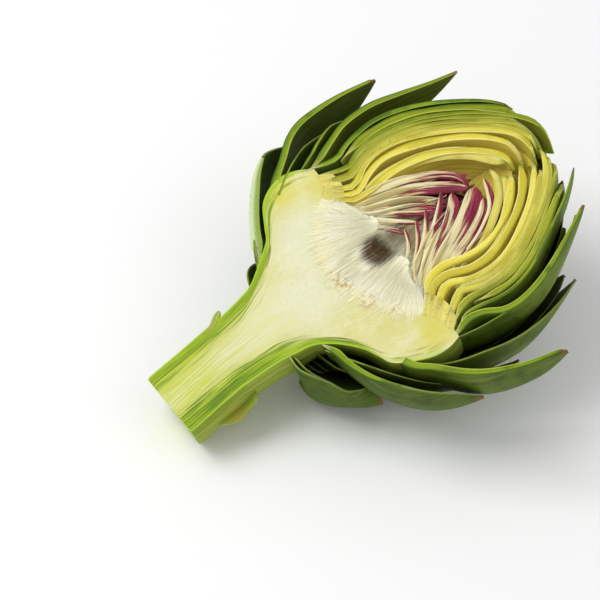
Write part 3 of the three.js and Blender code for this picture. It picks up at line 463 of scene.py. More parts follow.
def piece(name, meshes, node, finish, sharp=35):
    """Joins meshes to one smooth-shaded piece that stands for a CAD node."""
    bpy.ops.object.select_all(action="DESELECT")
    objects = [bpy.data.objects.new(name, mesh) for mesh in meshes]
    for obj in objects:
        bpy.context.scene.collection.objects.link(obj)
        obj.select_set(True)
    bpy.context.view_layer.objects.active = objects[0]
    if len(objects) > 1:
        bpy.ops.object.join()
    whole = bpy.context.object
    whole.name = whole.data.name = name
    bpy.ops.object.mode_set(mode="EDIT")
    bpy.ops.mesh.select_all(action="SELECT")
    bpy.ops.mesh.normals_make_consistent(inside=False)
    bpy.ops.object.mode_set(mode="OBJECT")
    bpy.ops.object.shade_smooth_by_angle(angle=math.radians(sharp))
    whole.data.materials.clear()
    whole.data.materials.append(finish)
    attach(whole, "root")
    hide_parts(node)


# ---- Bracts


def outline(share):
    return (0.72 + 0.28 * smooth(share, 0, 0.4)) * (1 - np.clip(share, 0, 1) ** 2.8) ** 0.8


def bract(spec, seed, tone=0.0, order=0, grid=None, tuck=0.0, wave=0.25, ribs=9, finest=0.3, middle=None,
          room=None, sharp_root=0.0, root_sink=0.0, root_fade=0.2, twist=0.0):
    """A cupped blade with fine ribs, flat where it ends on the cut face.

    A closing bract has a middle to wrap round. A bract with room, two lines, takes its thickness as a
    share of the distance between them."""
    line, azimuth, tip_azimuth, half_width, thickness = spec
    sizes = bpy.context.scene.artichoke_sizes
    mesh = blank(*(grid or (sizes.rows, sizes.columns)), 2)
    share, across, through = block_places(mesh)
    curve = Line(line)
    at, out = curve.at(share), curve.out(share)

    turned = np.radians(lerp(azimuth, tip_azimuth, smooth(share, TIP_TURN, 1)))
    reach = at[:, 1] if middle is None else np.hypot(np.maximum(at[:, 0] - middle, 0), at[:, 1])
    width = np.maximum(half_width * outline(share), LEAST_WIDTH)
    half = np.minimum(width / np.maximum(reach, NARROW_REACH), WIDEST_WRAP)
    low, high = np.clip(turned - half, 0, math.pi), np.clip(turned + half, 0, math.pi)
    angle = lerp(low, high, (across + 1) / 2)
    real = (angle - turned) / half

    phase = np.random.default_rng(SEED + seed).uniform(0, 2 * math.pi, 3)
    depth = thickness * (1 - TIP_THINNING * smooth(share, 0.45, 1))
    if room:
        gap = np.linalg.norm(Line(room[0]).at(share) - Line(room[1]).at(share), axis=-1)
        uneven = 1 + 0.16 * np.sin(11 * share + phase[0]) + 0.09 * np.sin(26 * share + phase[1])
        depth = np.clip(thickness * gap, *LAYER_DEPTHS) * uneven * (1 - 0.7 * smooth(share, 0.88, 1))
    depth = depth * (1 - SIDE_THINNING[bool(room)] * real**4)
    depth = depth * (1 + ROOT_THICKENING * smooth(1 - share, 0.75, 1))
    depth = np.maximum(finest, depth) * (1 - sharp_root * (1 - smooth(share, 0, SHARPENED)))

    off_cut = smooth(np.minimum(angle, math.pi - angle), 0, RIBLESS)
    ripple = np.sin(5 * share + phase[0]) * np.cos(3 * real + phase[1])
    ripple = ripple + 0.6 * np.sin(17 * share + phase[2]) * real**3
    relief = RIB_RELIEF * np.cos(2 * math.pi * ribs * real) * (1 - real**2) * through
    shift = (through - 0.5) * depth - tuck * real**2 * np.sin(math.pi * share)
    shift = shift + (wave * ripple * smooth(share, 0, 0.3) + relief) * off_cut
    shift = shift + twist * real * smooth(share, 0.1, 0.5)
    u, r = at[:, 0] + out[:, 0] * shift, at[:, 1] + out[:, 1] * shift
    if middle is None:
        points = place(u, np.maximum(r, 0.1 + 0.2 * through), angle)
    else:
        points = place_closing(u, r, angle, middle)

    sink = LAYER_SINK * order + root_sink * (1 - smooth(share, 0.02, root_fade))
    grain = (share * curve.length, real * half * reach, GRAIN_STRIDE * seed)
    return shape(mesh, points, sink, grain, (share, real, through), tone)


def strap(path, half_width, roll, tone, seed, thickness=0.5):
    """A slim blade along a path of [u, y, z] points that shows its face, its left edge raised by the roll."""
    mesh = blank(*STRAP_GRID, 2)
    share, across, through = block_places(mesh)
    curve = Line(path)
    at, out = curve.at(share), curve.out(share)
    phase = np.random.default_rng(SEED + seed).uniform(0, 2 * math.pi, 2)
    blunt = 4 + 3 * half_width
    half = half_width * (0.5 + 0.5 * smooth(share, 0, 0.45)) * (1 - share**blunt) ** 0.6 + 0.06
    side = across * half
    height = (through - 0.5) * thickness * (1 - 0.7 * across**2) + roll * side - 0.12 * side**2 / half_width
    height = height + 0.1 * np.sin(7 * share + phase[0]) * across + 0.04 * np.cos(9 * across) * through
    shift = side + 0.12 * half_width * np.sin(7 * share + phase[1])
    points = np.stack([at[:, 0] + out[:, 0] * shift, at[:, 1] + out[:, 1] * shift,
                       np.minimum(at[:, 2] + height, -SHALLOWEST)], axis=-1)
    grain = (share * curve.length, side, GRAIN_STRIDE * seed)
    return shape(mesh, points, 0, grain, (share, across, through), tone)


def both_sides(right, left):
    """The specs of both sides, with whether each is on the left and its number there.

    Their azimuths are counted from the right edge of the cut face."""
    for i, spec in enumerate(right):
        yield False, i, spec
    for i, (line, centre, tip, half_width, thickness) in enumerate(left):
        yield True, i, (line, 180 - centre, 180 - tip, half_width, thickness)


def draws(state):
    """Seeded numbers from 0 to 1."""
    while True:
        state = state * 16807 % 2147483647
        yield state / 2147483647


def spiral_bracts():
    """The rounded back's bracts, outermost first, in the order of a golden-angle spiral."""
    draw = draws(BACK_SEED)
    made = []
    turn = 0
    while len(made) < BACK_BRACTS:
        azimuth = (turn * GOLDEN_ANGLE + SPIRAL_START) % 360
        turn += 1
        if BACK_WINDOW < azimuth < 180 - BACK_WINDOW:
            azimuth += BACK_WANDER * (next(draw) - 0.5)
            depth = (len(BACK_LINES) - 1) * len(made) / (BACK_BRACTS - 1)
            first = min(int(depth), len(BACK_LINES) - 2)
            line = lerp(*(np.array(BACK_LINES[k], float) for k in (first, first + 1)), depth - first)
            half = BACK_HALF_WIDTH * (1 + BACK_SPREAD * (next(draw) - 0.5))
            made.append((line.tolist(), azimuth, azimuth, half, BACK_THICKNESS))
    return made


# ---- Half-round solids


def patch(axis, outer, start, end, s, w):
    """A point of the patch between the axis line, the outer line, and its first and last lines."""
    corners = [start.at(0.0), start.at(1.0), end.at(0.0), end.at(1.0)]
    s, w = s[:, None], w[:, None]
    flat = (1 - s) * (1 - w) * corners[0] + (1 - s) * w * corners[1] + s * (1 - w) * corners[2]
    flat = flat + s * w * corners[3]
    return ((1 - w) * axis.at(s[:, 0]) + w * outer.at(s[:, 0]) + (1 - s) * start.at(w[:, 0])
            + s * end.at(w[:, 0]) - flat)


def between_sides(right, left, s, w, azimuth):
    """A point between the right side's patch and the left side's, by its azimuth."""
    share = (1 - np.cos(azimuth)) / 2
    return lerp(patch(*right, s, w), patch(*left, s, w), share[:, None])


def half_round(right, left, grid, width_mm, relief, sink):
    """A half-round solid from a patch on each side. Its grain runs from the start line to the end line."""
    mesh = blank(*grid)
    s, across, through = block_places(mesh)
    w = np.maximum(np.abs(across), through)
    quarter = math.pi / 4 / np.where(w > 0, w, 1)
    side = np.where(across >= 0, through * quarter, math.pi - through * quarter)
    azimuth = np.where(np.abs(across) >= through, side, math.pi / 2 - across * quarter)
    at = between_sides(right, left, s, w, azimuth)
    points = place(at[:, 0], at[:, 1] + relief(s, w, azimuth), azimuth)
    y, z = w * np.cos(azimuth), w * np.sin(azimuth)
    return shape(mesh, points, sink, (s * right[1].length, y * width_mm, z * width_mm), (s, y, w))


def half_ring(right, left):
    """A half ring whose section is a patch on each side."""
    mesh = blank(*RING_GRID)
    s, across, w = block_places(mesh)
    azimuth = (across + 1) / 2 * math.pi
    at = between_sides(right, left, s, w, azimuth)
    bands = 0.1 + 0.85 * (np.round(w * RING_GRID[2]) % 2)  # the layers run on as fine lines
    return shape(mesh, place(at[:, 0], at[:, 1], azimuth), RING_SINK,
                 (s * 6, at[:, 1] * azimuth, w * 10), (RING_SHARE, across, bands), 1)


def root_side(lower, upper):
    lower = [[u - ROOT_OVERLAP, r] for u, r in lower]
    return Line([lower[0], upper[0]]), Line([lower[-1], upper[-1]]), Line(lower), Line(upper)


def flesh_side(stem_end, heart, dish):
    stem = [[stem_end * share, STEM_HALF_WIDTH * width] for share, width in STEM_WIDTHS]
    outer = [*stem, [heart[0][0] + 1, heart[0][1] - 0.6], *heart[1:]]
    middle = (STEM_END_RIGHT + STEM_END_LEFT) / 2
    axis = Line([[middle, 0], [middle / 2, 0], [0, 0], [DISH_BOTTOM, 0]])
    return axis, Line(outer), Line([[middle, 0], stem[0]]), Line([*dish, heart[-1]])


def choke_side(dish, brush):
    foot, rim = [DISH_BOTTOM + CHOKE_GAP, 0], [dish[-3][0] + RIM_GAP, dish[-3][1]]
    lower = [foot, *[[u + CHOKE_GAP, r] for u, r in dish[1:-3]], rim]
    return Line([foot, brush[0]]), Line([rim, brush[-1]]), Line(lower), Line(brush)


# ---- Hairs


def hair_template():
    """A slim three-sided spike of unit length with a few rings, modelled once."""
    bpy.ops.object.select_all(action="DESELECT")
    bpy.ops.mesh.primitive_cone_add(vertices=3, radius1=1, radius2=0, depth=1, location=(0, 0, 0.5))
    start = bpy.context.object
    for height in HAIR_RINGS:
        bpy.ops.object.mode_set(mode="EDIT")
        bpy.ops.mesh.select_all(action="SELECT")
        bpy.ops.mesh.bisect(plane_co=(0, 0, height), plane_no=(0, 0, 1))
        bpy.ops.object.mode_set(mode="OBJECT")
    places = start.matrix_world
    co = np.array([places @ v.co for v in start.data.vertices])
    faces = [list(face.vertices) for face in start.data.polygons]
    bpy.data.objects.remove(start)
    return co, faces


def hair_mesh(base, knee, tip, radius, random):
    """A mesh of spikes that run from base over knee to tip, all points of the head's frame.

    Most of them lie with a flat side up."""
    co, faces = hair_template()
    count, corners = len(base), len(co)
    t = co[:, 2][None, :, None]
    b, k, e = base[:, None], knee[:, None], tip[:, None]
    centre = (1 - t) ** 2 * b + 2 * t * (1 - t) * k + t**2 * e
    along = 2 * (1 - t) * (k - b) + 2 * t * (e - k)
    along /= np.linalg.norm(along, axis=-1, keepdims=True)
    side = np.cross(along, np.array([0.05, 0.1, 1.0]))
    side /= np.linalg.norm(side, axis=-1, keepdims=True)
    up = np.cross(side, along)
    roll = random.normal(math.pi, HAIR_ROLL, count)[:, None, None]
    x, y = co[None, :, 0, None], co[None, :, 1, None]
    spread = side * (x * np.cos(roll) - y * np.sin(roll)) + up * (x * np.sin(roll) + y * np.cos(roll))
    points = centre + spread * radius[:, None, None] * (0.55 + 0.45 * (1 - t))
    mesh = bpy.data.meshes.new("hairs")
    all_faces = [[i + first for i in face] for first in range(0, count * corners, corners) for face in faces]
    mesh.from_pydata(to_model(points.reshape(-1, 3)).tolist(), [], all_faces)
    share = np.tile(co[:, 2], count)
    number = np.repeat(np.arange(count), corners)
    note(mesh, np.zeros(len(all_faces)), (share * 10, number * 0.37, 0), (share, 0, 1),
         np.repeat(random.random(count), corners))
    return mesh


def choke_hairs(count):
    """Fine hairs from the dish: many lie on the cut face, and the others rise behind it."""
    random = np.random.default_rng(SEED)
    left = random.random(count) < 0.5
    on_face = random.random(count) < HAIRS_ON_FACE
    foot_share = random.random(count) ** 0.85
    azimuth = np.where(on_face, 0, random.uniform(0, math.pi / 2, count))
    azimuth = np.where(left, math.pi - azimuth, azimuth)
    right_foot, left_foot = Line(DISH_RIGHT[:-2]).at(foot_share), Line(DISH_LEFT[:-2]).at(foot_share)
    foot = np.where(left[:, None], left_foot, right_foot)
    foot_u, foot_r = foot[:, 0] - 4.5 * random.random(count) ** 6, foot[:, 1]
    short = foot_r < SHORT_WITHIN
    tip_u = HAIR_TIPS - 3 * smooth(foot_r, 14, 28) + random.normal(0, 2.2, count)
    tip_u += np.where(on_face, 0, BEHIND_RISE)
    tip_u = np.where(short, SHORT_TIPS + random.normal(0, 1.8, count), tip_u)
    lean = np.where(left & on_face, HAIR_LEANS[1], HAIR_LEANS[0])
    tip_r = 2.6 + lean * np.maximum(foot_r - 5, 0) + random.normal(0, 0.9, count)
    tip_r = np.where(short, foot_r * 0.85, tip_r)
    reach = np.where(on_face, random.uniform(*FACE_REACHES, count), random.uniform(*BEHIND_REACHES, count))
    tip_u, tip_r = lerp(foot_u, tip_u, reach), lerp(foot_r, tip_r, reach)
    points = [place(foot_u, foot_r, azimuth),
              place(lerp(foot_u, tip_u, 0.5) + 0.8, lerp(foot_r, tip_r, 0.42), azimuth),
              place(tip_u, np.maximum(tip_r, 0.4), azimuth)]
    sunk = random.uniform(*HAIR_SINKS, count)
    for at, dip in zip(points, (FOOT_DIP, 0, 0)):
        at[:, 2] = np.minimum(at[:, 2], 0) - sunk - dip
    return hair_mesh(*points, random.uniform(*HAIR_RADII, count), random)


# ---- Finishes


class Finish:
    """A material being made: each method adds a node and returns its output."""

    def __init__(self, name, roughness):
        self.material = bpy.data.materials.new(name)
        self.material.use_nodes = True
        self.tree = self.material.node_tree
        self.shader = self.tree.nodes["Principled BSDF"]
        self.shader.inputs["Roughness"].default_value = roughness

    def feed(self, socket, value):
        if isinstance(value, bpy.types.NodeSocket):
            self.tree.links.new(value, socket)
        elif socket.type == "RGBA" and len(value) == 3:
            socket.default_value = (*value, 1)
        else:
            socket.default_value = value

    def add(self, kind, inputs, output=0, **settings):
        node = self.tree.nodes.new("ShaderNode" + kind)
        for name, value in settings.items():
            setattr(node, name, value)
        for socket, value in inputs.items():
            self.feed(node.inputs[socket], value)
        return node.outputs[output]

    def attribute(self, name, output="Fac"):
        return self.add("Attribute", {}, output, attribute_name=name)

    def split(self, vector):
        node = self.tree.nodes.new("ShaderNodeSeparateXYZ")
        self.feed(node.inputs[0], vector)
        return node.outputs

    def math(self, operation, a, b=0.0):
        return self.add("Math", {0: a, 1: b}, operation=operation)

    def plus(self, a, b):
        return self.math("ADD", a, b)

    def times(self, a, b):
        return self.math("MULTIPLY", a, b)

    def swing(self, value, amount, middle=0.5):
        """How far a value is from its middle, times an amount."""
        return self.times(self.plus(value, -middle), amount)

    def range(self, value, low, high, to_low=0.0, to_high=1.0):
        """A smooth step of value from low to high."""
        return self.add("MapRange", {0: value, 1: low, 2: high, 3: to_low, 4: to_high},
                        interpolation_type="SMOOTHSTEP")

    def mix(self, share, a, b):
        return self.add("Mix", {0: share, 6: a, 7: b}, 2, data_type="RGBA")

    def over(self, colour, top, value, low, high, most=1.0):
        """A colour with another laid over it, more and more as a value goes from low to high."""
        return self.mix(self.range(value, low, high, 0.0, most), colour, top)

    def noise(self, vector, scale, detail, roughness=0.6):
        """Noise of one scale, or stretched by three."""
        if isinstance(scale, tuple):
            vector, scale = self.add("Mapping", {"Vector": vector, "Scale": scale}), 1.0
        return self.add("TexNoise", {"Vector": vector, "Scale": scale, "Detail": detail,
                                     "Roughness": roughness})

    def head(self):
        """The place in the head's frame, in millimetres."""
        coordinates = self.add("TexCoord", {}, "Object")
        return self.add("Mapping", {"Vector": coordinates, "Location": (NECK * MM).tolist(),
                                    "Rotation": (0, -TILT, 0), "Scale": (MM, MM, MM)},
                        vector_type="TEXTURE")

    def near(self, place_mm, point, radius, soft, most=1.0):
        """The most near a point of the head's frame, fading to 0 past a radius."""
        distance = self.add("VectorMath", {0: place_mm, 1: point}, "Value", operation="DISTANCE")
        return self.range(distance, radius, radius + soft, most, 0.0)

    def spotted(self, place_mm, colour, spot_colour):
        """A colour with brown specks near the bruised points."""
        specks = self.range(self.noise(place_mm, 0.5, 3.0), 0.48, 0.62)
        for point, radius in BRUISES:
            spot = self.times(self.near(place_mm, point, radius, 3.5, 0.6), specks)
            colour = self.mix(spot, colour, spot_colour)
        return colour

    def bump(self, height, distance_mm, strength):
        normal = self.add("Bump", {"Height": height, "Distance": distance_mm * MM, "Strength": strength})
        self.feed(self.shader.inputs["Normal"], normal)

    def done(self, colour, specular, subsurface=0.0, depth_mm=1.0):
        inputs = self.shader.inputs
        self.feed(inputs["Base Color"], colour)
        inputs["Specular IOR Level"].default_value = specular
        inputs["Subsurface Weight"].default_value = subsurface
        inputs["Subsurface Radius"].default_value = (1.0, 1.0, 0.4)
        inputs["Subsurface Scale"].default_value = depth_mm * MM
        return self.material


def flesh_finish(colours):
    """Moist cut flesh, cream in the heart and streaked green under the stem's rind, with its skin."""
    f = Finish("cream_flesh", 0.42)
    head, grain = f.head(), f.attribute("grain", "Vector")
    u = f.split(head)[0]
    along, side, edge = f.split(f.attribute("leaf", "Vector"))
    streaks = f.noise(grain, (0.035, 0.9, 0.9), 4.0)
    fine = f.noise(grain, (0.08, 3.5, 3.5), 3.0)
    clouds = f.noise(head, 0.09, 4.0)
    specks = f.noise(head, 0.9, 3.0)

    cream = f.over(colours.flesh, colours.flesh_warm, clouds, 0.38, 0.6)
    cream = f.over(cream, colours.flesh_warm, streaks, 0.48, 0.62, 0.5)
    cream = f.over(cream, colours.flesh_white, fine, 0.5, 0.62, 0.35)
    for point, soft in WHITE_FLESH:
        cream = f.mix(f.near(head, point, 4.0, soft, 0.7), cream, colours.flesh_white)
    for point, amount in YELLOW_FLESH:
        warm = f.times(f.near(head, point, 1.5, 7.5, amount), f.range(clouds, 0.15, 0.5, 0.4, 1.0))
        cream = f.mix(warm, cream, colours.flesh_yellow)
    cream = f.over(cream, colours.flesh_warm, specks, 0.46, 0.66, 0.35)
    cream = f.spotted(head, cream, colours.bruise)

    right = f.range(side, -0.2, 0.8)
    ragged = f.plus(f.swing(streaks, 1.7), f.swing(fine, 0.5))
    inward = f.plus(f.plus(edge, ragged), f.times(right, 0.1))
    pith = f.over(colours.pith, colours.flesh, u, -40.0, 2.0)
    pith = f.over(pith, colours.flesh_white, streaks, 0.44, 0.6, 0.6)
    pith = f.over(pith, colours.pith, inward, 0.2, 0.6, 0.5)
    rind = f.over(colours.rind, colours.rind_light, fine, 0.44, 0.6, 0.7)
    dark = f.times(f.range(streaks, 0.44, 0.56), f.plus(f.times(right, 0.4), 0.5))
    rind = f.over(f.mix(dark, rind, colours.rind_dark), colours.rind_bright, edge, 0.93, 0.98)
    stem = f.over(pith, rind, inward, 0.4, 0.72)
    rim_start = f.range(u, 2.0, 26.0, 0.72, 0.93)
    rim = f.range(f.math("SUBTRACT", f.plus(edge, f.times(ragged, 0.4)), rim_start), 0.0, 0.1)
    heart = f.mix(f.times(rim, f.range(u, 40.0, 28.0)), cream, rind)
    inside = f.over(heart, stem, u, 8.0, -8.0)

    skin = f.over(colours.stem_skin, colours.stem_skin_pale, streaks, 0.42, 0.6)
    skin = f.over(skin, colours.bruise, specks, 0.6, 0.72, 0.5)
    skin = f.mix(f.near(head, SCAR, 1.5, 5.0, 0.35), skin, colours.bruise)
    end = f.over(colours.pith, colours.rind, f.plus(edge, f.swing(clouds, 0.3)), 0.66, 0.95)
    skin = f.over(skin, end, along, 0.012, 0.0)
    f.bump(f.plus(fine, f.times(clouds, 0.6)), 0.12, 0.5)
    return f.done(f.mix(f.attribute("cut"), skin, inside), 0.15, 0.2, 2.0)


def leaf_finish(name, first, second, dry, subsurface):
    """A bract: ribbed and waxy outside, pale inside, with a fine edge line where it is cut; a green bract's
    inner face is instead dark, partly with painted shade of the gaps between bracts.

    Its colours go from the first palette to the second with its tone."""
    f = Finish(name, 0.55)
    tone, grain = f.attribute("tone"), f.attribute("grain", "Vector")
    share, across, through = f.split(f.attribute("leaf", "Vector"))
    run, _, seed = f.split(grain)
    fibres = f.noise(grain, (0.05, 1.6, 1.0), 4.0, 0.65)
    streaks = f.noise(grain, (0.03, 0.35, 1.0), 3.0)
    clouds = f.noise(grain, (0.12, 0.12, 1.0), 3.0)
    specks = f.noise(f.head(), 0.8, 2.0)
    layered = f.add("CombineXYZ", {0: f.times(run, 0.05), 1: f.times(through, 2.2), 2: seed})
    lines = f.noise(layered, 1.0, 4.0, 0.7)
    c = SimpleNamespace(**{role: f.mix(tone, getattr(first, role), getattr(second, role))
                           for role in BRACT_COLOURS})

    outer = f.over(c.outer, c.outer_light, fibres, 0.35, 0.65)
    outer = f.over(outer, c.outer_dark, clouds, 0.45, 0.7, 0.6)
    outer = f.over(outer, c.wax, streaks, 0.52, 0.68, 0.55)
    # On a green bract these inner colours hold painted shade of the deep gaps between bracts as well as its
    # own green.
    inner = f.over(c.inner, c.inner_light, fibres, 0.35, 0.65)
    inner = f.over(inner, c.root, share, 0.35, 0.0, 0.7)
    blade = f.over(inner, outer, through, 0.4, 0.6)
    blade = f.over(blade, c.margin, f.math("ABSOLUTE", across), 0.93, 1.0, 0.6)

    strip = f.over(c.strip, c.strip_light, lines, 0.36, 0.64)
    strip = f.over(strip, c.strip_edge, streaks, 0.47, 0.6, 0.65)
    strip = f.over(strip, c.strip_edge, through, 0.62, 0.98)
    strip = f.over(strip, c.strip_inner, through, 0.22, 0.02)
    waxy = f.range(tone, -0.2, -0.8)
    strip = f.mix(waxy, strip, c.margin)
    strip = f.mix(f.times(waxy, f.range(through, 0.3, 0.75)), strip, c.bloom)
    strip = f.over(strip, c.strip_root, share, 0.12, 0.0)
    speckled = f.plus(specks, f.range(share, 0.25, 0.12, 0.0, 0.05))
    strip = f.over(strip, c.speck, speckled, 0.62, 0.72, 0.5)
    colour = f.mix(f.attribute("cut"), blade, strip)
    colour = f.over(colour, dry, f.plus(share, f.swing(fibres, 0.1)), 0.94, 1.0, 0.8)
    f.bump(f.plus(fibres, f.times(streaks, 0.5)), 0.12, 0.6)
    return f.done(colour, 0.14, subsurface, 2.0)


def violet_finish(colours):
    """Papery cream straps that turn violet to the tip and away from the cut, and maroon in the depth."""
    f = Finish("violet_bract", 0.5)
    share, across, _ = f.split(f.attribute("leaf", "Vector"))
    grain = f.attribute("grain", "Vector")
    fibres = f.noise(grain, (0.08, 2.5, 1.0), 4.0, 0.65)
    blush = f.noise(grain, (0.05, 0.5, 1.0), 2.0)
    cream = f.over(colours.strap, colours.strap_light, fibres, 0.4, 0.6)
    violet = f.over(colours.violet, colours.violet_dark, fibres, 0.4, 0.6)
    inward = f.times(f.times(across, f.attribute("tone")), 0.5)
    reach = f.plus(f.plus(share, inward), f.plus(f.swing(blush, 2.6, 0.42), f.swing(fibres, 2.0)))
    colour = f.over(cream, violet, reach, 0.55, 1.1)
    colour = f.over(colour, colours.maroon, f.split(f.head())[2], -4.0, -13.0)
    edge = f.times(f.attribute("cut"), f.range(share, 0.95, 0.75))
    colour = f.mix(edge, colour, colours.strap_light)
    f.bump(fibres, 0.1, 0.6)
    return f.done(colour, 0.25, 0.35, 1.5)


def choke_finish(colours):
    """Silky cream hairs, dark brown towards the hollow: partly their own brown and partly painted shade of
    the pit.
    """
    f = Finish("choke_hair", 0.6)
    head, tone = f.head(), f.attribute("tone")
    foot = f.split(f.attribute("leaf", "Vector"))[0]
    fine = f.noise(f.attribute("grain", "Vector"), (0.06, 2.6, 2.6), 4.0, 0.7)
    cream = f.over(colours.hair, colours.hair_warm, tone, 0.2, 0.9)
    cream = f.over(cream, colours.hair_dark, tone, 0.9, 0.97)
    cream = f.over(cream, colours.hair_dark, fine, 0.5, 0.66, 0.5)
    cream = f.over(cream, colours.hair_warm, foot, 0.25, 0.03)
    cream = f.spotted(head, cream, colours.bruise)
    # Painted shade of the pit, laid with the hollow's own brown round its middle.
    hollow = f.plus(f.near(head, HOLLOW, 3.0, 6.5), f.swing(fine, 3.4))
    f.bump(fine, 0.03, 0.5)
    return f.done(f.over(cream, colours.hollow, hollow, 0.25, 0.85), 0.2, 0.15, 1.0)


# ---- Settings


OWN_COLOURS = {
    "flesh": ("Cut flesh of the heart", (0.74, 0.71, 0.37)),
    "flesh_warm": ("Yellower clouds in the heart", (0.67, 0.63, 0.24)),
    "flesh_white": ("Palest middle of the heart", (0.77, 0.78, 0.62)),
    "flesh_yellow": ("Yellow patches at the shoulders", (0.66, 0.61, 0.06)),
    "bruise": ("Brown specks and scars", (0.56, 0.37, 0.05)),
    "pith": ("Cut pith of the stem", (0.56, 0.60, 0.07)),
    "rind": ("Streaked green under the stem's skin", (0.26, 0.39, 0.006)),
    "rind_light": ("Paler streaks of the rind", (0.46, 0.56, 0.03)),
    "rind_dark": ("Darker streaks of the rind", (0.10, 0.20, 0.003)),
    "rind_bright": ("Bright line at the stem's edge", (0.36, 0.54, 0.02)),
    "stem_skin": ("Ribbed outside of the stem", (0.25, 0.34, 0.03)),
    "stem_skin_pale": ("Paler ribs of the stem", (0.40, 0.47, 0.08)),
    "hair": ("Fine hairs of the choke", (0.985, 0.98, 0.80)),
    "hair_warm": ("Yellower hairs of the choke", (0.96, 0.91, 0.57)),
    "hair_dark": ("Shade between the hairs of the choke", (0.66, 0.58, 0.27)),
    # The hollow's dark brown is partly the choke's own brown and partly painted shade of the pit.
    "hollow": ("Brown hollow in the choke", (0.07, 0.03, 0.004)),
    "strap": ("Cream base of the violet bracts", (0.76, 0.66, 0.31)),
    "strap_light": ("Pale fibres of the violet bracts", (0.90, 0.83, 0.52)),
    "violet": ("Tips of the violet bracts", (0.38, 0.035, 0.085)),
    "violet_dark": ("Deep fibres of the violet tips", (0.15, 0.008, 0.025)),
    "maroon": ("Shaded depth among the violet bracts", (0.10, 0.018, 0.02)),
    "dry": ("Brown dry tips", (0.22, 0.12, 0.04)),
}
# What is coloured on a bract, with its colours on a green, a lime and a yellow one
BRACT_COLOURS = {
    "outer": ("Outer face", (0.058, 0.105, 0.006), (0.17, 0.26, 0.018), (0.66, 0.58, 0.09)),
    "outer_light": ("Pale outer fibres", (0.11, 0.17, 0.016), (0.28, 0.37, 0.04), (0.78, 0.71, 0.18)),
    "outer_dark": ("Dark outer clouds", (0.026, 0.052, 0.003), (0.08, 0.14, 0.008), (0.48, 0.40, 0.04)),
    "wax": ("Waxy outer streaks", (0.18, 0.23, 0.07), (0.34, 0.42, 0.12), (0.74, 0.70, 0.26)),
    # A green bract's inner face and fibres are its own green darkened with painted shade of the deep gaps
    # between bracts.
    "inner": ("Inner face", (0.03, 0.055, 0.006), (0.15, 0.18, 0.012), (0.70, 0.54, 0.06)),
    "inner_light": ("Pale inner fibres", (0.06, 0.10, 0.012), (0.28, 0.30, 0.03), (0.86, 0.75, 0.15)),
    "root": ("Inner face at the root", (0.20, 0.30, 0.04), (0.50, 0.46, 0.10), (0.66, 0.57, 0.15)),
    "margin": ("Side margins", (0.28, 0.37, 0.07), (0.40, 0.45, 0.06), (0.70, 0.66, 0.22)),
    "strip": ("Cut edge", (0.13, 0.23, 0.006), (0.17, 0.235, 0.006), (0.70, 0.60, 0.05)),
    "strip_light": ("Pale cut fibres", (0.25, 0.36, 0.012), (0.32, 0.37, 0.014), (0.84, 0.75, 0.14)),
    "strip_edge": ("Cut edge's outer line", (0.035, 0.09, 0.004), (0.08, 0.14, 0.004), (0.48, 0.41, 0.02)),
    "strip_inner": ("Cut edge's inner line", (0.38, 0.47, 0.05), (0.54, 0.55, 0.08), (0.88, 0.80, 0.28)),
    "strip_root": ("Cut edge at the root", (0.66, 0.64, 0.28), (0.70, 0.64, 0.19), (0.76, 0.68, 0.21)),
    "speck": ("Specks of the cut edge", (0.07, 0.12, 0.01), (0.22, 0.24, 0.02), (0.45, 0.2, 0.03)),
    "bloom": ("Bloom of a waxy cut", (0.60, 0.68, 0.40), (0.60, 0.68, 0.40), (0.80, 0.76, 0.40)),
}


def colour_group(name, owner, colours, column=0):
    """A group of colour properties from one column of a table of colours."""
    properties = {
        role: FloatVectorProperty(name=role.replace("_", " ").capitalize(), description=f"{text} {owner}",
                                  default=choices[column], subtype="COLOR", size=3, min=0, max=1)
        for role, (text, *choices) in colours.items()
    }
    return type(name, (bpy.types.PropertyGroup,), {"__annotations__": properties})


ArtichokeColours = colour_group("ArtichokeColours", "of the artichoke", OWN_COLOURS)
GreenBractColours = colour_group("GreenBractColours", "of a green bract", BRACT_COLOURS, 0)
LimeBractColours = colour_group("LimeBractColours", "of a lime bract", BRACT_COLOURS, 1)
YellowBractColours = colour_group("YellowBractColours", "of a yellow bract", BRACT_COLOURS, 2)


class ArtichokeSizes(bpy.types.PropertyGroup):
    """Amounts that a user would change."""

    hairs: IntProperty(name="Hairs", description="Hairs in the choke", default=7000, min=100)
    rows: IntProperty(name="Rows", description="Rows of faces along a bract", default=34, min=8)
    columns: IntProperty(name="Columns", description="Columns of faces across a bract", default=16, min=4)
    floor_size: FloatProperty(name="Floor size", description="Side of the pale floor", default=6.0,
                              unit="LENGTH")
    key_power: FloatProperty(name="Key light", description="Power of the main light", default=7, unit="POWER")
    fill_power: FloatProperty(name="Fill light", description="Power of the second light", default=1.2,
                              unit="POWER")
    sky: FloatProperty(name="Sky", description="Strength of the pale surroundings", default=0.58)
    camera_azimuth: FloatProperty(name="Camera azimuth", description="Turn of the camera",
                                  default=math.radians(-28.6), subtype="ANGLE")
    camera_elevation: FloatProperty(name="Camera elevation", description="Height of the camera",
                                    default=math.radians(50), subtype="ANGLE")
    camera_distance: FloatProperty(name="Camera distance", description="From the neck", default=0.8,
                                   unit="LENGTH")


# ---- Operators


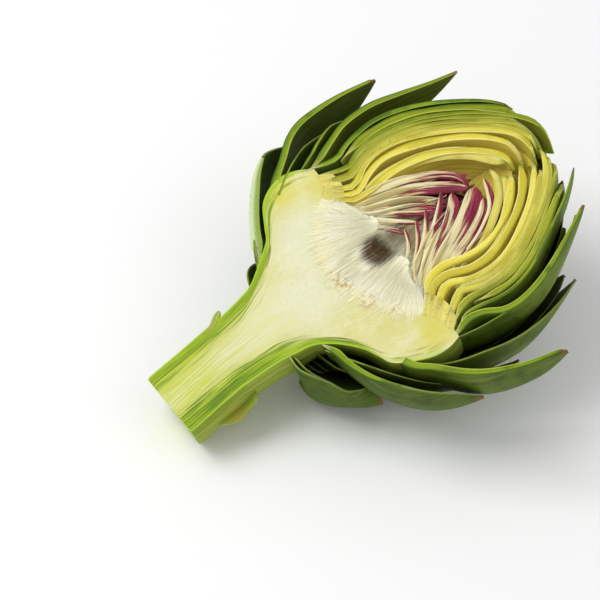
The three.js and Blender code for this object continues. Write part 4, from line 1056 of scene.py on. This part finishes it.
class ARTICHOKE_OT_flesh(bpy.types.Operator):
    """Makes the stem and heart"""

    bl_idname = "artichoke.flesh"
    bl_label = "Make Stem and Heart"

    def execute(self, context):
        def ribs(s, w, azimuth):
            in_stem = 1 - smooth(s, 0.36, 0.52)
            inside = smooth(np.minimum(azimuth, math.pi - azimuth), 0, 0.2)
            return -RIB_HEIGHT * np.cos(2 * STEM_RIBS * azimuth) * in_stem * inside * (w == 1)

        right = flesh_side(STEM_END_RIGHT, HEART_RIGHT, DISH_RIGHT)
        left = flesh_side(STEM_END_LEFT, HEART_LEFT, DISH_LEFT)
        made = [half_round(right, left, FLESH_GRID, width_mm=20, relief=ribs, sink=FLESH_SINK)]
        made += [strap(*spec, roll=0, tone=0, seed=300 + i, thickness=SCAR_THICKNESS)
                 for i, spec in enumerate(STEM_SCARS)]
        finish = flesh_finish(context.scene.artichoke_colours)
        piece("stem_and_heart_flesh", made, "stem_and_heart", finish, 50)
        return {"FINISHED"}


class ARTICHOKE_OT_green_bracts(bpy.types.Operator):
    """Makes the green bracts, cut and whole"""

    bl_idname = "artichoke.green_bracts"
    bl_label = "Make Green Bracts"

    def execute(self, context):
        scene = context.scene
        finish = leaf_finish("green_bract", scene.green_bract_colours, scene.lime_bract_colours,
                             scene.artichoke_colours.dry, 0.12)
        cut = []
        for left, i, spec in both_sides(CUT_GREEN_RIGHT, CUT_GREEN_LEFT):
            tone = WAXY if left and i == 0 else 0.12 * i
            cut.append(bract(spec, len(cut) + 1, tone, i, root_sink=ROOT_SINKS[left], **CUT_STYLE))
        _, _, closing = next(both_sides((), CLOSED_LEFT))
        cut.append(bract(closing, 20, 0, 5, **CLOSING_STYLE))
        piece("cut_green_bracts", cut, "outer_bracts", finish)
        back = [bract(spec, 40 + i, **BACK_STYLE) for i, spec in enumerate(spiral_bracts())]
        back += [bract(spec, 70 + i, twist=twist, **NECK_STYLE)
                 for i, (spec, twist) in enumerate(zip(NECK_BRACTS, NECK_TWISTS))]
        piece("back_green_bracts", back, "outer_bracts", finish)
        return {"FINISHED"}


class ARTICHOKE_OT_yellow_bracts(bpy.types.Operator):
    """Makes the yellow bracts that close over the head, and the ring that they grow from"""

    bl_idname = "artichoke.yellow_bracts"
    bl_label = "Make Yellow Bracts"

    def execute(self, context):
        scene = context.scene
        finish = leaf_finish("yellow_bract", scene.lime_bract_colours, scene.yellow_bract_colours,
                             scene.lime_bract_colours.strip, 0.3)
        made = [half_ring(root_side(*ROOTS_RIGHT), root_side(*ROOTS_LEFT))]
        made += [strap(*spec, YELLOW_ROLL, 1, 160 + i) for i, spec in enumerate(YELLOW_STRAPS)]
        sides = ([CUT_GREEN_RIGHT[-1], *CLOSED_RIGHT], CLOSED_LEFT)
        for left, i, (line, centre, tip, half, _) in both_sides(*sides):
            if i == 0:
                continue
            lines = [spec[0] for spec in sides[left]]
            before, last = lines[i - 1], i == len(lines) - 1
            room = (before, line) if last else (line, lines[i + 1])
            tone = smooth(i if left else i + 0.8, 0.8, 4)
            layer = (rooted(line, ROOTED), centre, tip, half, LAYER_SHARES[i > THIN_LAYERS])
            made.append(bract(layer, 100 + len(made), tone, 4 + 2 * i, room=room, **LAYER_STYLE))
            if i <= THIN_LAYERS:
                turn = -THIN_TURN if left else THIN_TURN
                thin = (between(before, line, 0.5, 0.12, 0.97), centre + turn, tip + turn, half, THIN_SHARE)
                made.append(bract(thin, 100 + len(made), max(0, tone - 0.15), 3 + 2 * i, room=(before, line),
                                  **THIN_STYLE))
        made += [bract(spec, 130 + i, 1, **BEHIND_STYLE) for i, spec in enumerate(BACK_YELLOW)]
        piece("yellow_bracts", made, "inner_bracts", finish)
        return {"FINISHED"}


class ARTICHOKE_OT_violet_bracts(bpy.types.Operator):
    """Makes the violet bracts over the choke"""

    bl_idname = "artichoke.violet_bracts"
    bl_label = "Make Violet Bracts"

    def execute(self, context):
        made = []
        for left, i, spec in both_sides(VIOLET_RIGHT, VIOLET_LEFT):
            made.append(bract(spec, 200 + len(made), -1 if left else 1, 9 + i, **VIOLET_STYLE))
        for line, azimuths, half in VIOLET_BACK:
            for azimuth in azimuths:
                spec = line, azimuth, azimuth, half, VIOLET_THICKNESS
                made.append(bract(spec, 200 + len(made), **VIOLET_BACK_STYLE))
        for i, spec in enumerate(VIOLET_STRAPS):
            tone = -0.5 if i < FIRST_RIGHT_STRAP else -1
            made.append(strap(*spec, VIOLET_ROLL, tone, 260 + i))
        finish = violet_finish(context.scene.artichoke_colours)
        piece("violet_straps", made, "violet_bracts", finish)
        return {"FINISHED"}


class ARTICHOKE_OT_choke(bpy.types.Operator):
    """Makes the choke's core and hairs"""

    bl_idname = "artichoke.choke"
    bl_label = "Make Choke"

    def execute(self, context):
        def ragged(s, w, azimuth):
            return 0.6 * np.sin(97 * w + 41 * azimuth) * smooth(s, 0.6, 1) * smooth(w, 0.1, 0.3) * (w < 1)

        sides = choke_side(DISH_RIGHT, BRUSH_RIGHT), choke_side(DISH_LEFT, BRUSH_LEFT)
        made = [half_round(*sides, CHOKE_GRID, width_mm=40, relief=ragged, sink=CHOKE_SINK),
                choke_hairs(context.scene.artichoke_sizes.hairs)]
        piece("choke_hairs", made, "choke", choke_finish(context.scene.artichoke_colours))
        return {"FINISHED"}


class ARTICHOKE_OT_stage(bpy.types.Operator):
    """Makes the pale floor, the soft lights and the camera"""

    bl_idname = "artichoke.stage"
    bl_label = "Make Stage"

    def execute(self, context):
        scene, sizes = context.scene, context.scene.artichoke_sizes
        bpy.ops.object.select_all(action="DESELECT")
        bpy.ops.mesh.primitive_plane_add(size=sizes.floor_size)
        floor = context.object
        floor.name = "floor"
        floor.data.materials.append(Finish("pale_floor", 0.8).done(FLOOR_COLOUR, 0.1))

        scene.world = bpy.data.worlds.new("studio")
        scene.world.use_nodes = True
        background = scene.world.node_tree.nodes["Background"].inputs
        background["Color"].default_value = (1, 1, 1, 1)
        background["Strength"].default_value = sizes.sky
        for name, (location, side) in LIGHTS.items():
            bpy.ops.object.light_add(type="AREA", location=location)
            light = context.object
            light.name = name
            light.data.size = side
            light.data.energy = getattr(sizes, f"{name}_power")
            light.rotation_euler = (LIGHTS_AIM - Vector(location)).to_track_quat("-Z", "Y").to_euler()

        azimuth, elevation = sizes.camera_azimuth, sizes.camera_elevation
        back = Vector((math.sin(azimuth) * math.cos(elevation), -math.cos(azimuth) * math.cos(elevation),
                       math.sin(elevation)))
        across = Vector((math.cos(azimuth), math.sin(azimuth), 0))
        aim = Vector((NECK * MM).tolist()) + across * AIM[0] + back.cross(across) * AIM[1]
        bpy.ops.object.camera_add()
        camera = context.object
        camera.name = "camera"
        camera.data.sensor_width = SENSOR
        camera.data.lens = SENSOR * FOCAL_LENGTH
        camera.location = aim + back * sizes.camera_distance
        camera.rotation_euler = back.to_track_quat("Z", "Y").to_euler()
        scene.camera = camera
        scene.view_settings.view_transform = "Standard"
        return {"FINISHED"}


class ARTICHOKE_PT_panel(bpy.types.Panel):
    """Sidebar panel that lists the steps"""

    bl_idname = "ARTICHOKE_PT_panel"
    bl_label = "Halved Artichoke"
    bl_space_type = "VIEW_3D"
    bl_region_type = "UI"
    bl_category = "Artichoke"

    def draw(self, context):
        for step in STEPS:
            self.layout.operator(step.bl_idname)
        for group, kind in GROUPS.items():
            for name in kind.__annotations__:
                self.layout.prop(getattr(context.scene, group), name)


STEPS = (ARTICHOKE_OT_stage, ARTICHOKE_OT_flesh, ARTICHOKE_OT_green_bracts, ARTICHOKE_OT_yellow_bracts,
         ARTICHOKE_OT_violet_bracts, ARTICHOKE_OT_choke)
GROUPS = {
    "artichoke_sizes": ArtichokeSizes,
    "artichoke_colours": ArtichokeColours,
    "green_bract_colours": GreenBractColours,
    "lime_bract_colours": LimeBractColours,
    "yellow_bract_colours": YellowBractColours,
}
CLASSES = (*GROUPS.values(), *STEPS, ARTICHOKE_PT_panel)


def register():
    for each in CLASSES:
        bpy.utils.register_class(each)
    for name, group in GROUPS.items():
        setattr(bpy.types.Scene, name, PointerProperty(type=group))


def unregister():
    for name in GROUPS:
        delattr(bpy.types.Scene, name)
    for each in reversed(CLASSES):
        bpy.utils.unregister_class(each)


def main():
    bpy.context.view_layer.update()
    register()
    bpy.ops.artichoke.stage()
    bpy.ops.artichoke.flesh()
    bpy.ops.artichoke.green_bracts()
    bpy.ops.artichoke.yellow_bracts()
    bpy.ops.artichoke.violet_bracts()
    bpy.ops.artichoke.choke()


if __name__ == "__main__":
    main()
